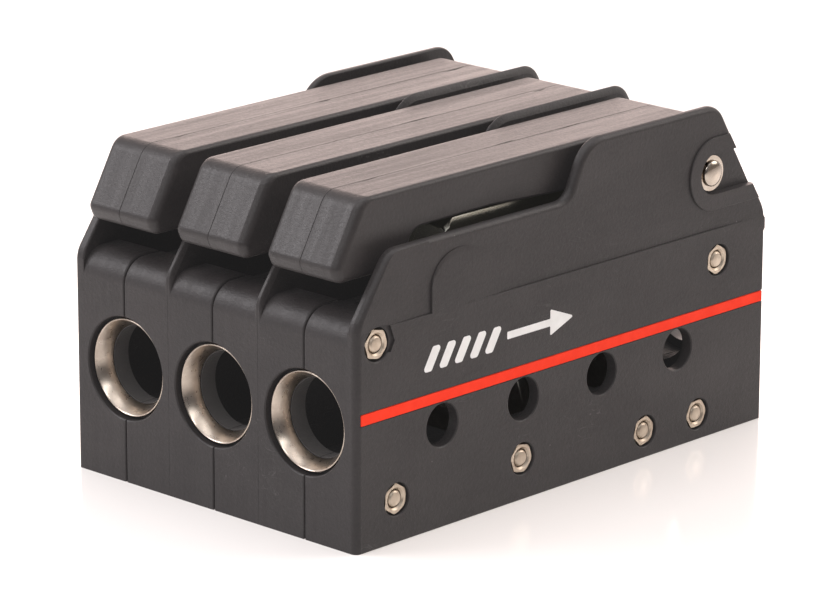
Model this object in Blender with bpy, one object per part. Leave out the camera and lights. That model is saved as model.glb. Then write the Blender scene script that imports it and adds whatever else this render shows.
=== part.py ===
"""Triple rope clutch with lever handles, for yacht lines of 6 to 12 mm.

World: metres, +Z up. X runs across the three clutches, Y along the rope, and the
rope enters at the -Y face. The origin is the bottom centre of the whole object.

Sizes below are in millimetres. "Along" is a distance behind the front face, and
an outline is a list of (along, height) points.
"""

import math

import bmesh
import bpy
from mathutils import Matrix, Vector

MM = 0.001

# ---- casing ----
PITCH = 36.0
CLUTCH_CENTRES = (-PITCH, 0.0, PITCH)
LENGTH = 173.0
NOSE_OVERHANG = 1.37      # the closed handles reach this far past the front face
MIDDLE = (LENGTH - NOSE_OVERHANG) / 2
HALF_WIDTH = 56.25
HALF_SLOT = 16.7          # from a clutch's centre plane to the wall beside its handle
SEAM_GAP = 0.15           # each shell stops this far short of the clutch's centre plane
FLOOR_TOP = 16.8
FRONT_DEPTH = 14.0
FRONT_TOP = 66.3
REAR_START = 147.0
REAR_TOP = 64.0
RAKE_FOOT = 63.2          # the walls' rear edge leans forward above this height
RAKE_TOP_ALONG = 150.7
FENCE_LOW = 84.2          # wall height beside the grip
FENCE_HIGH = 100.3        # wall height beside the handle's hinge
FENCE_BEVEL = 1.1
SIDE_STEP = 0.8           # upper side face lies this far inside the label band
LABEL_TOP = 63.1
BAND_INSET = 0.3          # raised faces stop this far inside the wall's edges
OVERLAP = 1.0             # how far joined solids run into each other

# ---- rope way ----
ROPE_HEIGHT = 34.0
BORE_RADIUS = 11.4
RING_RECESS = 1.4
RECESS_RADIUS = 15.3
FLANGE_RADIUS = 14.5
FLANGE_DEPTH = 2.2
SLEEVE_RADIUS = 12.9
BUSHING_DEPTH = 7.0
FIT = 0.3                 # clearance between pieces that rest on each other

# ---- handle hinge ----
PIVOT = (150.0, 80.0)
OPEN_DEG = 105.0
PIN_RADIUS = 3.9
PIN_GROOVE_RADIUS = 3.1
CLIP_RADIUS = 5.4
CLIP_THICKNESS = 0.8
CHANNEL_HALF_HEIGHT = 6.2
CHANNEL_DEPTH = 2.6
BOSS_RADIUS = 11.0
INNER_BOSS_RADIUS = 9.0
INNER_BOSS_HEIGHT = 2.5

# ---- handle ----
HANDLE_HALF_WIDTH = 13.75
HANDLE_TOP = 98.4
HANDLE_WALL = 2.5
HANDLE_ROOF = 95.2
HANDLE_HUB_RADIUS = 6.6
HANDLE_HEEL_RADIUS = 10.5
HANDLE_BEVEL = 1.4
CAM_HALF_WIDTH = 5.8

# ---- grip rings ----
RING_COUNT = 4
RING_FIRST = 60.0
RING_SPACING = 20.0
RING_FOOT_HEIGHT = 19.0
RING_TILT_DEG = 18.0
RING_HALF_WIDTH = 12.0
RING_THICKNESS = 3.5
RING_HOLE_RADIUS = 7.2
RING_SHOULDER = 37.5
RING_REACH = 42.0         # from the foot to where the carriage drives the tab
RING_TAB_TOP = 44.5
RING_TAB_HALF_WIDTH = 5.0
TRUNNION_RADIUS = 1.75
TRUNNION_REACH = 15.5
RAIL_INNER = 13.0
RAIL_TOP = 23.0
TRAVEL = RING_REACH * math.tan(math.radians(RING_TILT_DEG))

# ---- carriage ----
CARRIAGE_START = 40.0
CARRIAGE_END = 122.0
CARRIAGE_BOTTOM = 59.0
CARRIAGE_TOP = 66.0
CARRIAGE_HALF_WIDTH = 11.5
WING_HALF_WIDTH = 15.6
WING_HEIGHT = 3.0
LEDGE_BOTTOM = 54.5
POCKET_HALF_LENGTH = 3.2
POCKET_HALF_WIDTH = 5.6
POCKET_TOP = 64.2
CHANNEL_START = 48.0
CHANNEL_END = 117.0
CHANNEL_TOP = 83.8
CHANNEL_HALF_WIDTH = 8.0
SHEET = 1.5
ROLLER_RADIUS = 2.6
ROLLER_HALF_LENGTH = 8.8
ROLLER_EYE_RADIUS = 3.9
CLOSED_REACH = TRAVEL + 10.8   # pivot to roller with the handle closed
CAM_CLEARANCE = 0.3

# ---- return spring ----
SPRING_HEIGHT = 62.0
SPRING_RADIUS = 3.3
SPRING_WIRE = 0.6
SPRING_TURNS = 5.5

# ---- side holes, stripe and fasteners ----
SIDE_HOLE_RADIUS = 6.3
SIDE_HOLE_HEIGHT = 29.9
SIDE_HOLE_FIRST = 34.2
SIDE_HOLE_SPACING = 33.4
STRIPE_BOTTOM = 36.7
STRIPE_TOP = 40.0
STRIPE_INSET = 1.5
STRIPE_GROOVE = 0.9
BOLT_PLACES = ((8.2, 58.8), (152.2, 53.5), (144.1, 7.9), (120.5, 8.1), (67.5, 12.2), (15.9, 12.6))
NUT_TURNS_DEG = (12.0, 40.0, 25.0, 52.0, 8.0, 33.0)
BOLT_RADIUS = 2.45
BOLT_HOLE_RADIUS = 2.75
NUT_ACROSS_FLATS = 8.0
NUT_HEIGHT = 3.0
POCKET_RADIUS = 5.1
POCKET_DEPTH = 3.7
BOLT_SINK = 0.5           # bolt ends stop this far inside the side faces
MOUNT_HOLE_RADIUS = 3.2
MOUNT_HOLE_DEPTH = 12.0
MOUNT_HOLE_PLACES = ((-18.0, 40.0), (18.0, 40.0), (-18.0, 133.0), (18.0, 133.0))

MATERIALS = {
    "casing": ((0.045, 0.042, 0.042), 0.52, 0.0),
    "handle": ((0.055, 0.050, 0.049), 0.45, 0.0),
    "stainless": ((0.70, 0.67, 0.63), 0.18, 1.0),
    "fastener": ((0.62, 0.58, 0.52), 0.30, 1.0),
    "stripe": ((0.80, 0.055, 0.025), 0.45, 0.0),
    "carriage": ((0.050, 0.050, 0.052), 0.50, 0.0),
}


# ------------------------------------------------------------------ helpers

def clear_scene():
    for obj in list(bpy.data.objects):
        bpy.data.objects.remove(obj, do_unlink=True)


def world(across, along, height):
    """A point in metres from millimetres across, behind the front face and up."""
    return Vector((across, along - MIDDLE, height)) * MM


def make_material(name):
    colour, roughness, metallic = MATERIALS[name]
    material = bpy.data.materials.new(name)
    material.use_nodes = True
    shader = material.node_tree.nodes["Principled BSDF"]
    shader.inputs["Base Color"].default_value = (*colour, 1.0)
    shader.inputs["Roughness"].default_value = roughness
    shader.inputs["Metallic"].default_value = metallic
    return material


def finish_object(name, bm, material=None, smooth=False):
    """Turn a bmesh into a named object with outward faces."""
    bmesh.ops.recalc_face_normals(bm, faces=bm.faces)
    mesh = bpy.data.meshes.new(name)
    bm.to_mesh(mesh)
    bm.free()
    if smooth:
        mesh.shade_smooth()
        mesh.set_sharp_from_angle(angle=math.radians(35))
    obj = bpy.data.objects.new(name, mesh)
    bpy.context.collection.objects.link(obj)
    if material:
        obj.data.materials.append(bpy.data.materials.get(material) or make_material(material))
    return obj


def as_tool(obj):
    """Mark a solid that only cuts or extends another."""
    obj.hide_render = True
    obj.display_type = "WIRE"
    return obj


def combine(obj, tool, operation):
    modifier = obj.modifiers.new(f"{operation.lower()} {tool.name}", "BOOLEAN")
    modifier.operation = operation
    modifier.object = tool
    modifier.solver = "EXACT"


def set_origin(obj, point):
    """Move the object's origin to a world point and leave its shape in place."""
    obj.data.transform(Matrix.Translation(-point))
    obj.location = point


def arc(centre, radius, start_deg, end_deg, steps):
    """Points on a circle, both ends included."""
    points = []
    for step in range(steps + 1):
        angle = math.radians(start_deg + (end_deg - start_deg) * step / steps)
        points.append((centre[0] + radius * math.cos(angle), centre[1] + radius * math.sin(angle)))
    return points


def rounded(corners, steps=3):
    """An outline from (along, height, radius) corners, each rounded by its radius."""
    outline = []
    for index, (along, height, radius) in enumerate(corners):
        if radius == 0:
            outline.append((along, height))
            continue
        here = Vector((along, height))
        before = (Vector(corners[index - 1][:2]) - here).normalized()
        after = (Vector(corners[(index + 1) % len(corners)][:2]) - here).normalized()
        half_angle = before.angle(after) / 2
        centre = here + (before + after).normalized() * (radius / math.sin(half_angle))
        start = here + before * (radius / math.tan(half_angle)) - centre
        end = here + after * (radius / math.tan(half_angle)) - centre
        sweep = start.angle_signed(end)
        for step in range(steps + 1):
            spoke = start.copy()
            spoke.rotate(Matrix.Rotation(-sweep * step / steps, 2))
            outline.append(tuple(centre + spoke))
    return outline


def add_prism(bm, outline, low, high):
    """Extrude an (along, height) outline across from low to high."""
    ring = [bm.verts.new(world(low, along, height)) for along, height in outline]
    face = bm.faces.new(ring)
    extruded = bmesh.ops.extrude_face_region(bm, geom=[face])
    moved = [item for item in extruded["geom"] if isinstance(item, bmesh.types.BMVert)]
    bmesh.ops.translate(bm, verts=moved, vec=Vector(((high - low) * MM, 0, 0)))


def prism(name, outline, low, high, material=None, smooth=False):
    bm = bmesh.new()
    add_prism(bm, outline, low, high)
    return finish_object(name, bm, material, smooth)


def box_outline(start, end, bottom, top):
    return [(start, bottom), (end, bottom), (end, top), (start, top)]


def add_cross_bar(bm, radius, low, high, along, height, segments=16):
    """A round bar across the clutch from low to high."""
    add_prism(bm, arc((along, height), radius, 0, 360 - 360 / segments, segments - 1), low, high)


def cross_bar(name, radius, low, high, along, height, material=None, segments=16):
    bm = bmesh.new()
    add_cross_bar(bm, radius, low, high, along, height, segments)
    return finish_object(name, bm, material, smooth=True)


def add_turned(bm, profile, centre, axis, segments=20):
    """Revolve a closed (radius, distance) profile about an axis through centre."""
    axis = Vector(axis)
    side = Vector((1, 0, 0)) if axis.z else Vector((0, 0, 1))
    start = [bm.verts.new(centre + (side * radius + axis * distance) * MM) for radius, distance in profile]
    edges = [bm.edges.new((start[i - 1], start[i])) for i in range(len(start))]
    bmesh.ops.spin(bm, geom=start + edges, cent=centre, axis=axis, angle=math.tau,
                   steps=segments, use_merge=True, use_duplicate=False)
    bmesh.ops.remove_doubles(bm, verts=bm.verts, dist=0.01 * MM)


def turned(name, profile, centre, axis, material=None, segments=20):
    bm = bmesh.new()
    add_turned(bm, profile, centre, axis, segments)
    return finish_object(name, bm, material, smooth=True)


# ------------------------------------------------------------------ casing

def fence_outline():
    """The wall beside a handle: low along the grip, high at the hinge, raked ends."""
    corners = [
        (0, 0, 0), (LENGTH, 0, 0), (LENGTH, RAKE_FOOT, 3), (RAKE_TOP_ALONG, FENCE_HIGH, 8), (93.8, FENCE_HIGH, 4),
        (86.3, FENCE_LOW, 6), (13.7, FENCE_LOW, 6), (0, 65.0, 5),
    ]
    return rounded(corners)


def trough_outline():
    """Floor with a front and a rear wall that carry the rope bushings."""
    corners = [
        (0, 0, 0), (LENGTH, 0, 0), (LENGTH, REAR_TOP, 6), (REAR_START, REAR_TOP, 0),
        (REAR_START, FLOOR_TOP, 0), (FRONT_DEPTH, FLOOR_TOP, 0), (FRONT_DEPTH, FRONT_TOP, 0),
        (0, FRONT_TOP, 6.3),
    ]
    return rounded(corners)


def rope_way_profile(depth_beyond):
    """Stepped bore for a bushing, from in front of the face inwards."""
    flange_floor = RING_RECESS + FLANGE_DEPTH + FIT
    sleeve_floor = RING_RECESS + BUSHING_DEPTH + FIT
    return [
        (0, -2), (RECESS_RADIUS, -2), (RECESS_RADIUS, flange_floor), (SLEEVE_RADIUS + FIT, flange_floor),
        (SLEEVE_RADIUS + FIT, sleeve_floor), (BORE_RADIUS, sleeve_floor), (BORE_RADIUS, depth_beyond),
        (0, depth_beyond),
    ]


def rope_way_tool():
    bm = bmesh.new()
    for centre in CLUTCH_CENTRES:
        add_turned(bm, rope_way_profile(FRONT_DEPTH + 2), world(centre, 0, ROPE_HEIGHT), (0, 1, 0))
        rear_depth = LENGTH - REAR_START + 2
        add_turned(bm, rope_way_profile(rear_depth), world(centre, LENGTH, ROPE_HEIGHT), (0, -1, 0))
    return as_tool(finish_object("tool rope way", bm))


def cross_hole_tool():
    """Every hole that runs right across all the shells."""
    bm = bmesh.new()
    reach = HALF_WIDTH + 2
    for along, height in BOLT_PLACES:
        add_cross_bar(bm, BOLT_HOLE_RADIUS, -reach, reach, along, height)
    add_cross_bar(bm, PIN_RADIUS + FIT, -reach, reach, *PIVOT)
    return as_tool(finish_object("tool cross holes", bm))


def trunnion_hole_tool(centre):
    bm = bmesh.new()
    for index in range(RING_COUNT):
        along = RING_FIRST + RING_SPACING * index
        radius = TRUNNION_RADIUS + FIT
        reach = TRUNNION_REACH + FIT
        add_cross_bar(bm, radius, centre - reach, centre + reach, along, RING_FOOT_HEIGHT, 12)
    return as_tool(finish_object("tool trunnion holes", bm))


def mount_hole_tool():
    """Blind deck-screw holes in the underside of the two middle shells."""
    bm = bmesh.new()
    profile = [(0, -2), (MOUNT_HOLE_RADIUS, -2), (MOUNT_HOLE_RADIUS, MOUNT_HOLE_DEPTH), (0, MOUNT_HOLE_DEPTH)]
    for across, along in MOUNT_HOLE_PLACES:
        add_turned(bm, profile, world(across, along, 0), (0, 0, 1), segments=12)
    return as_tool(finish_object("tool mount holes", bm))


def half_clutch_parts(name, centre, side):
    """Trough half, carriage ledge, ring rail and hinge boss on one side of a clutch."""
    near = centre + side * SEAM_GAP
    far = centre + side * (HALF_SLOT + OVERLAP)
    trough = prism(f"tool trough {name}", trough_outline(), near, far)
    inner = centre + side * RAIL_INNER
    ledge = box_outline(FRONT_DEPTH - OVERLAP, REAR_START + OVERLAP, LEDGE_BOTTOM, CARRIAGE_BOTTOM - FIT)
    ledge_tool = prism(f"tool ledge {name}", ledge, inner, far)
    last_ring = RING_FIRST + RING_SPACING * (RING_COUNT - 1)
    rail = box_outline(RING_FIRST - 6, last_ring + 6, FLOOR_TOP - OVERLAP, RAIL_TOP)
    rail_tool = prism(f"tool rail {name}", rail, inner, far)
    boss_face = centre + side * (HALF_SLOT - INNER_BOSS_HEIGHT)
    boss = cross_bar(f"tool boss {name}", INNER_BOSS_RADIUS, boss_face, far, *PIVOT, segments=20)
    return [as_tool(tool) for tool in (trough, ledge_tool, rail_tool, boss)]


def fence(name, low, high):
    """A casing shell starts as its wall, bevelled along the edges."""
    shell = prism(name, fence_outline(), low, high, "casing")
    bevel = shell.modifiers.new("edge bevel", "BEVEL")
    bevel.width = FENCE_BEVEL * MM
    bevel.segments = 1
    bevel.limit_method = "ANGLE"
    bevel.angle_limit = math.radians(60)
    return shell


def make_middle_casing(name, centre, tools):
    """A shell between two clutches: one partition with half a clutch on each side."""
    half_partition = PITCH / 2 - HALF_SLOT
    shell = fence(name, centre - half_partition, centre + half_partition)
    for label, clutch, side in (("a", centre - PITCH / 2, 1), ("b", centre + PITCH / 2, -1)):
        for part in half_clutch_parts(f"{name} {label}", clutch, side):
            combine(shell, part, "UNION")
    for tool in tools:
        combine(shell, tool, "DIFFERENCE")
    return shell


def label_band_outline():
    """The raised lower part of a side face."""
    return box_outline(BAND_INSET, LENGTH - BAND_INSET, BAND_INSET, LABEL_TOP - BAND_INSET)


def rake_along(height):
    """Where the raked rear edge of a wall is at a height."""
    return RAKE_TOP_ALONG + (LENGTH - RAKE_TOP_ALONG) * (FENCE_HIGH - height) / (FENCE_HIGH - RAKE_FOOT)


def hinge_boss_outline():
    """The raised surround of the pivot pin, open towards the rear."""
    low = PIVOT[1] - BOSS_RADIUS
    high = PIVOT[1] + BOSS_RADIUS
    front = arc(PIVOT, BOSS_RADIUS, 90, 270, 12)
    return front + [(rake_along(low) - BAND_INSET, low), (rake_along(high) - BAND_INSET, high)]


def end_face_tool(side):
    """Cuts in an end wall: clip channel, nut pockets, stripe groove and side holes."""
    bm = bmesh.new()
    outside = side * (HALF_WIDTH + 2)
    channel = arc(PIVOT, CHANNEL_HALF_HEIGHT, 90, 270, 10)
    channel += [(LENGTH + 2, PIVOT[1] - CHANNEL_HALF_HEIGHT), (LENGTH + 2, PIVOT[1] + CHANNEL_HALF_HEIGHT)]
    add_prism(bm, channel, side * (HALF_WIDTH - CHANNEL_DEPTH), outside)
    for along, height in BOLT_PLACES:
        add_cross_bar(bm, POCKET_RADIUS, side * (HALF_WIDTH - POCKET_DEPTH), outside, along, height)
    groove = box_outline(STRIPE_INSET - FIT, LENGTH - STRIPE_INSET + FIT, STRIPE_BOTTOM - FIT,
                         STRIPE_TOP + FIT)
    add_prism(bm, groove, side * (HALF_WIDTH - STRIPE_GROOVE), outside)
    wall_inside = side * (PITCH + HALF_SLOT - OVERLAP)
    for index in range(4):
        along = SIDE_HOLE_FIRST + SIDE_HOLE_SPACING * index
        add_cross_bar(bm, SIDE_HOLE_RADIUS, wall_inside, outside, along, SIDE_HOLE_HEIGHT, 20)
    label = "right" if side > 0 else "left"
    return as_tool(finish_object(f"tool end face {label}", bm))


def make_end_casing(name, side, tools):
    """An outer shell: a full side wall with half a clutch inside it."""
    clutch = side * PITCH
    shell = fence(name, clutch + side * HALF_SLOT, side * (HALF_WIDTH - SIDE_STEP))
    band_low = side * (HALF_WIDTH - SIDE_STEP - OVERLAP)
    for label, outline in (("band", label_band_outline()), ("hinge", hinge_boss_outline())):
        raised = as_tool(prism(f"tool {label} {name}", outline, band_low, side * HALF_WIDTH))
        combine(shell, raised, "UNION")
    for part in half_clutch_parts(name, clutch, side):
        combine(shell, part, "UNION")
    for tool in tools + [end_face_tool(side)]:
        combine(shell, tool, "DIFFERENCE")
    return shell


def make_casings():
    shared = [rope_way_tool(), cross_hole_tool()]
    shared += [trunnion_hole_tool(centre) for centre in CLUTCH_CENTRES]
    make_end_casing("left_end_casing", -1, shared)
    make_end_casing("right_end_casing", 1, shared)
    underside = [mount_hole_tool()]
    make_middle_casing("left_middle_casing", -PITCH / 2, shared + underside)
    make_middle_casing("right_middle_casing", PITCH / 2, shared + underside)


# ------------------------------------------------------------------ fixed pieces

def bushing_profile():
    """A flared ring: rolled rim, trumpet throat, straight sleeve."""
    flare = [(14.1, 0.0), (12.7, 1.0), (11.8, 3.0)]
    return [(FLANGE_RADIUS, 0.35)] + flare + [
        (BORE_RADIUS, BUSHING_DEPTH), (SLEEVE_RADIUS, BUSHING_DEPTH), (SLEEVE_RADIUS, FLANGE_DEPTH),
        (FLANGE_RADIUS, FLANGE_DEPTH),
    ]


def make_bushings():
    for number, centre in enumerate(CLUTCH_CENTRES, start=1):
        front = world(centre, RING_RECESS, ROPE_HEIGHT)
        turned(f"front_bushing_{number}", bushing_profile(), front, (0, 1, 0), "stainless")
        rear = world(centre, LENGTH - RING_RECESS, ROPE_HEIGHT)
        turned(f"rear_bushing_{number}", bushing_profile(), rear, (0, -1, 0), "stainless")


def hex_outline(centre, turn_deg):
    radius = NUT_ACROSS_FLATS / math.sqrt(3)
    return arc(centre, radius, turn_deg, turn_deg + 300, 5)


def make_bolt(number, place, turn_deg):
    """A cross bolt: hex head in the left pocket, thread end through the nut."""
    head_seat = -(HALF_WIDTH - POCKET_DEPTH + FIT / 2)
    head_face = -(HALF_WIDTH - BOLT_SINK)
    bolt = prism(f"cross_bolt_{number}", hex_outline(place, turn_deg), head_seat, head_face, "fastener")
    shank = cross_bar(f"tool shank {number}", BOLT_RADIUS, head_seat - OVERLAP, HALF_WIDTH - BOLT_SINK,
                      *place, segments=16)
    combine(bolt, as_tool(shank), "UNION")


def make_nut(number, place, turn_deg):
    seat = HALF_WIDTH - POCKET_DEPTH + FIT / 2
    nut = prism(f"cross_bolt_nut_{number}", hex_outline(place, turn_deg), seat, seat + NUT_HEIGHT, "fastener")
    hole = cross_bar(f"tool nut hole {number}", BOLT_HOLE_RADIUS, seat - 1, seat + NUT_HEIGHT + 1, *place)
    combine(nut, as_tool(hole), "DIFFERENCE")


def make_fasteners():
    for number, (place, turn) in enumerate(zip(BOLT_PLACES, NUT_TURNS_DEG), start=1):
        make_bolt(number, place, turn + 17)
        make_nut(number, place, turn)


def make_pivot_pin():
    """One pin through all the handles, domed at both ends and grooved for its clips."""
    channel_floor = HALF_WIDTH - CHANNEL_DEPTH
    groove_start = channel_floor + 0.15
    groove_end = groove_start + CLIP_THICKNESS + FIT
    tip = HALF_WIDTH + 0.2
    half = [
        (0, 0), (PIN_RADIUS, 0), (PIN_RADIUS, groove_start), (PIN_GROOVE_RADIUS, groove_start),
        (PIN_GROOVE_RADIUS, groove_end), (PIN_RADIUS, groove_end), (PIN_RADIUS, tip - 1.3),
        (PIN_RADIUS * 0.85, tip - 0.6), (PIN_RADIUS * 0.5, tip - 0.15), (0, tip),
    ]
    profile = half[1:] + [(radius, -distance) for radius, distance in reversed(half[2:])]
    turned("handle_pivot_pin", profile, world(0, *PIVOT), (1, 0, 0), "stainless", segments=16)


def clip_outline():
    """An open ring with its gap towards the front and top."""
    gap_centre = 135
    half_gap = 28
    start = gap_centre + half_gap
    end = gap_centre + 360 - half_gap
    outside = arc(PIVOT, CLIP_RADIUS, start, end, 16)
    inside = arc(PIVOT, PIN_GROOVE_RADIUS + 0.25, end, start, 16)
    return outside + inside


def make_clips():
    inner = HALF_WIDTH - CHANNEL_DEPTH + 0.15 + FIT / 2
    for label, side in (("left", -1), ("right", 1)):
        name = f"pivot_clip_{label}"
        prism(name, clip_outline(), side * inner, side * (inner + CLIP_THICKNESS), "stainless")


def make_stripes():
    outline = box_outline(STRIPE_INSET, LENGTH - STRIPE_INSET, STRIPE_BOTTOM, STRIPE_TOP)
    inner = HALF_WIDTH - STRIPE_GROOVE + FIT
    for label, side in (("left", -1), ("right", 1)):
        prism(f"side_stripe_{label}", outline, side * inner, side * (HALF_WIDTH - 0.1), "stripe")


def make_spring(number, centre):
    """A compression spring between the front wall and the carriage."""
    start = FRONT_DEPTH + FIT + SPRING_WIRE
    end = CARRIAGE_START - FIT - SPRING_WIRE
    steps_per_turn = 8
    total = int(SPRING_TURNS * steps_per_turn)
    curve = bpy.data.curves.new(f"return_spring_{number}", "CURVE")
    curve.dimensions = "3D"
    curve.bevel_depth = SPRING_WIRE * MM
    curve.bevel_resolution = 0
    curve.use_fill_caps = True
    spline = curve.splines.new("POLY")
    spline.points.add(total)
    for step in range(total + 1):
        angle = math.tau * step / steps_per_turn
        along = start + (end - start) * step / total
        across = centre + SPRING_RADIUS * math.cos(angle)
        height = SPRING_HEIGHT + SPRING_RADIUS * math.sin(angle)
        spline.points[step].co = (*world(across, along, height), 1)
    spring = bpy.data.objects.new(f"return_spring_{number}", curve)
    bpy.context.collection.objects.link(spring)
    curve.materials.append(bpy.data.materials["stainless"])


# ------------------------------------------------------------------ handle

def handle_outline():
    """Side view of a closed handle: deep nose, shallow skirt, round heel at the hinge."""
    heel = arc(PIVOT, HANDLE_HEEL_RADIUS, 25, -90, 9)
    corners = [
        (26.5, 75.8, 1.5), (0.2, 75.8, 2.6), (-1.6, 80.2, 2.0), (8.9, HANDLE_TOP, 3.5),
        (145.5, HANDLE_TOP, 5.0),
    ]
    front = rounded(corners + [(heel[0][0], heel[0][1], 0), (heel[-1][0], heel[-1][1], 0)])[:-2]
    skirt = rounded([
        (134.0, 69.5, 0), (122.0, 87.8, 5), (28.0, 87.8, 5), (26.5, 75.8, 0), (80, 0, 0),
    ])[:-2]
    return front + heel + skirt


def hollow_outline():
    """The space under the handle's roof, open downwards, with room for the roller when open."""
    corners = [
        (28.8, 60.0, 0), (28.8, HANDLE_ROOF, 4), (138.0, HANDLE_ROOF, 4), (146.0, 88.5, 2),
        (151.5, 79.5, 0), (161.0, 66.5, 0), (161.0, 60.0, 0),
    ]
    return rounded(corners)


def nose_hollow_outline():
    """The finger recess under the handle's nose."""
    return rounded([(7.5, 70.0, 0), (8.5, 88.0, 4), (24.0, 88.0, 3), (24.0, 70.0, 0)])


def cam_point(angle_deg):
    """Cam surface that drives the roller as far as the handle has turned, in equal steps."""
    radius_per_deg = TRAVEL / OPEN_DEG
    reach = CLOSED_REACH - radius_per_deg * angle_deg
    angle = math.radians(180 + angle_deg)
    spoke = Vector((math.cos(angle), math.sin(angle)))
    along_curve = Vector((-math.sin(angle), math.cos(angle))) * reach - spoke * math.degrees(radius_per_deg)
    normal = Vector((along_curve.y, -along_curve.x)).normalized()
    surface = spoke * reach - normal * (ROLLER_RADIUS + CAM_CLEARANCE)
    return (PIVOT[0] + surface.x, PIVOT[1] + surface.y)


def cam_outline():
    steps = 10
    flank = [cam_point(OPEN_DEG * step / steps) for step in range(steps + 1)]
    front = flank[0][0]
    under_hub = (PIVOT[0] + 3.0, PIVOT[1] - 4.0)
    into_heel = (PIVOT[0] - 1.5, PIVOT[1] + 8.0)
    into_roof = (PIVOT[0] - 11.0, HANDLE_ROOF + OVERLAP)
    return [(front, HANDLE_ROOF + OVERLAP)] + flank + [under_hub, into_heel, into_roof]


def make_handle(number, centre, pin_hole):
    low = centre - HANDLE_HALF_WIDTH
    high = centre + HANDLE_HALF_WIDTH
    handle = prism(f"handle_{number}", handle_outline(), low, high, "handle")
    bevel = handle.modifiers.new("edge bevel", "BEVEL")
    bevel.width = HANDLE_BEVEL * MM
    bevel.segments = 1
    bevel.limit_method = "ANGLE"
    bevel.angle_limit = math.radians(60)
    inside = HANDLE_HALF_WIDTH - HANDLE_WALL
    for label, outline in (("hollow", hollow_outline()), ("nose", nose_hollow_outline())):
        tool = prism(f"tool handle {label} {number}", outline, centre - inside, centre + inside)
        combine(handle, as_tool(tool), "DIFFERENCE")
    hub = cross_bar(f"tool handle hub {number}", HANDLE_HUB_RADIUS, centre - inside - OVERLAP,
                    centre + inside + OVERLAP, *PIVOT, segments=20)
    combine(handle, as_tool(hub), "UNION")
    cam = prism(f"tool handle cam {number}", cam_outline(), centre - CAM_HALF_WIDTH, centre + CAM_HALF_WIDTH)
    combine(handle, as_tool(cam), "UNION")
    combine(handle, pin_hole, "DIFFERENCE")
    set_origin(handle, world(centre, *PIVOT))
    return handle


def make_handles():
    reach = HALF_WIDTH + 2
    pin_hole = as_tool(cross_bar("tool handle pin hole", PIN_RADIUS + FIT, -reach, reach, *PIVOT))
    for number, centre in enumerate(CLUTCH_CENTRES, start=1):
        make_handle(number, centre, pin_hole)


# ------------------------------------------------------------------ carriage

def ring_tab_along(index):
    """Where a tilted ring's tab meets the carriage while the handle is closed."""
    return RING_FIRST + RING_SPACING * index - TRAVEL


def make_carriage(number, centre):
    """The sliding bar: wings on the casing ledges, a pocket over each ring's tab."""
    body = box_outline(CARRIAGE_START, CARRIAGE_END, CARRIAGE_BOTTOM, CARRIAGE_TOP)
    carriage = prism(f"carriage_{number}", body, centre - CARRIAGE_HALF_WIDTH, centre + CARRIAGE_HALF_WIDTH,
                     "carriage")
    wing = box_outline(CARRIAGE_START, CARRIAGE_END, CARRIAGE_BOTTOM, CARRIAGE_BOTTOM + WING_HEIGHT)
    wings = prism(f"tool wings {number}", wing, centre - WING_HALF_WIDTH, centre + WING_HALF_WIDTH)
    combine(carriage, as_tool(wings), "UNION")
    bm = bmesh.new()
    for index in range(RING_COUNT):
        middle = ring_tab_along(index)
        pocket = box_outline(middle - POCKET_HALF_LENGTH, middle + POCKET_HALF_LENGTH, CARRIAGE_BOTTOM - 2,
                             POCKET_TOP)
        add_prism(bm, pocket, centre - POCKET_HALF_WIDTH, centre + POCKET_HALF_WIDTH)
    combine(carriage, as_tool(finish_object(f"tool tab pockets {number}", bm)), "DIFFERENCE")


def push_channel_outline():
    """Side view of the folded channel, with the roller's eye at its rear end."""
    bottom = CARRIAGE_TOP + FIT
    eye = arc((PIVOT[0] - CLOSED_REACH, PIVOT[1]), ROLLER_EYE_RADIUS, 75, -75, 6)
    top = rounded([(CHANNEL_START, bottom, 0), (CHANNEL_START, CHANNEL_TOP, 3), (CHANNEL_END, CHANNEL_TOP, 0)])
    underside = [(118.0, 74.0), (106.0, bottom)]
    return top + [(118.5, 83.2)] + eye + underside


def make_push_channel(number, centre):
    """A folded stainless channel that carries the cam roller between its cheeks."""
    channel = prism(f"push_channel_{number}", push_channel_outline(), centre - CHANNEL_HALF_WIDTH,
                    centre + CHANNEL_HALF_WIDTH, "stainless")
    bottom = CARRIAGE_TOP + FIT
    inner = CHANNEL_HALF_WIDTH - SHEET
    hollow = box_outline(CHANNEL_START + SHEET, CHANNEL_END, bottom - 2, CHANNEL_TOP - SHEET)
    open_end = box_outline(CHANNEL_END - OVERLAP, PIVOT[0], bottom - 2, CHANNEL_TOP + 2)
    for label, shape in (("hollow", hollow), ("end", open_end)):
        tool = prism(f"tool channel {label} {number}", shape, centre - inner, centre + inner)
        combine(channel, as_tool(tool), "DIFFERENCE")
    roller_place = (PIVOT[0] - CLOSED_REACH, PIVOT[1])
    hole = cross_bar(f"tool roller hole {number}", ROLLER_RADIUS + 0.25, centre - 10, centre + 10,
                     *roller_place, segments=16)
    combine(channel, as_tool(hole), "DIFFERENCE")
    cross_bar(f"cam_roller_{number}", ROLLER_RADIUS, centre - ROLLER_HALF_LENGTH,
              centre + ROLLER_HALF_LENGTH, *roller_place, "stainless", segments=16)


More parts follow.
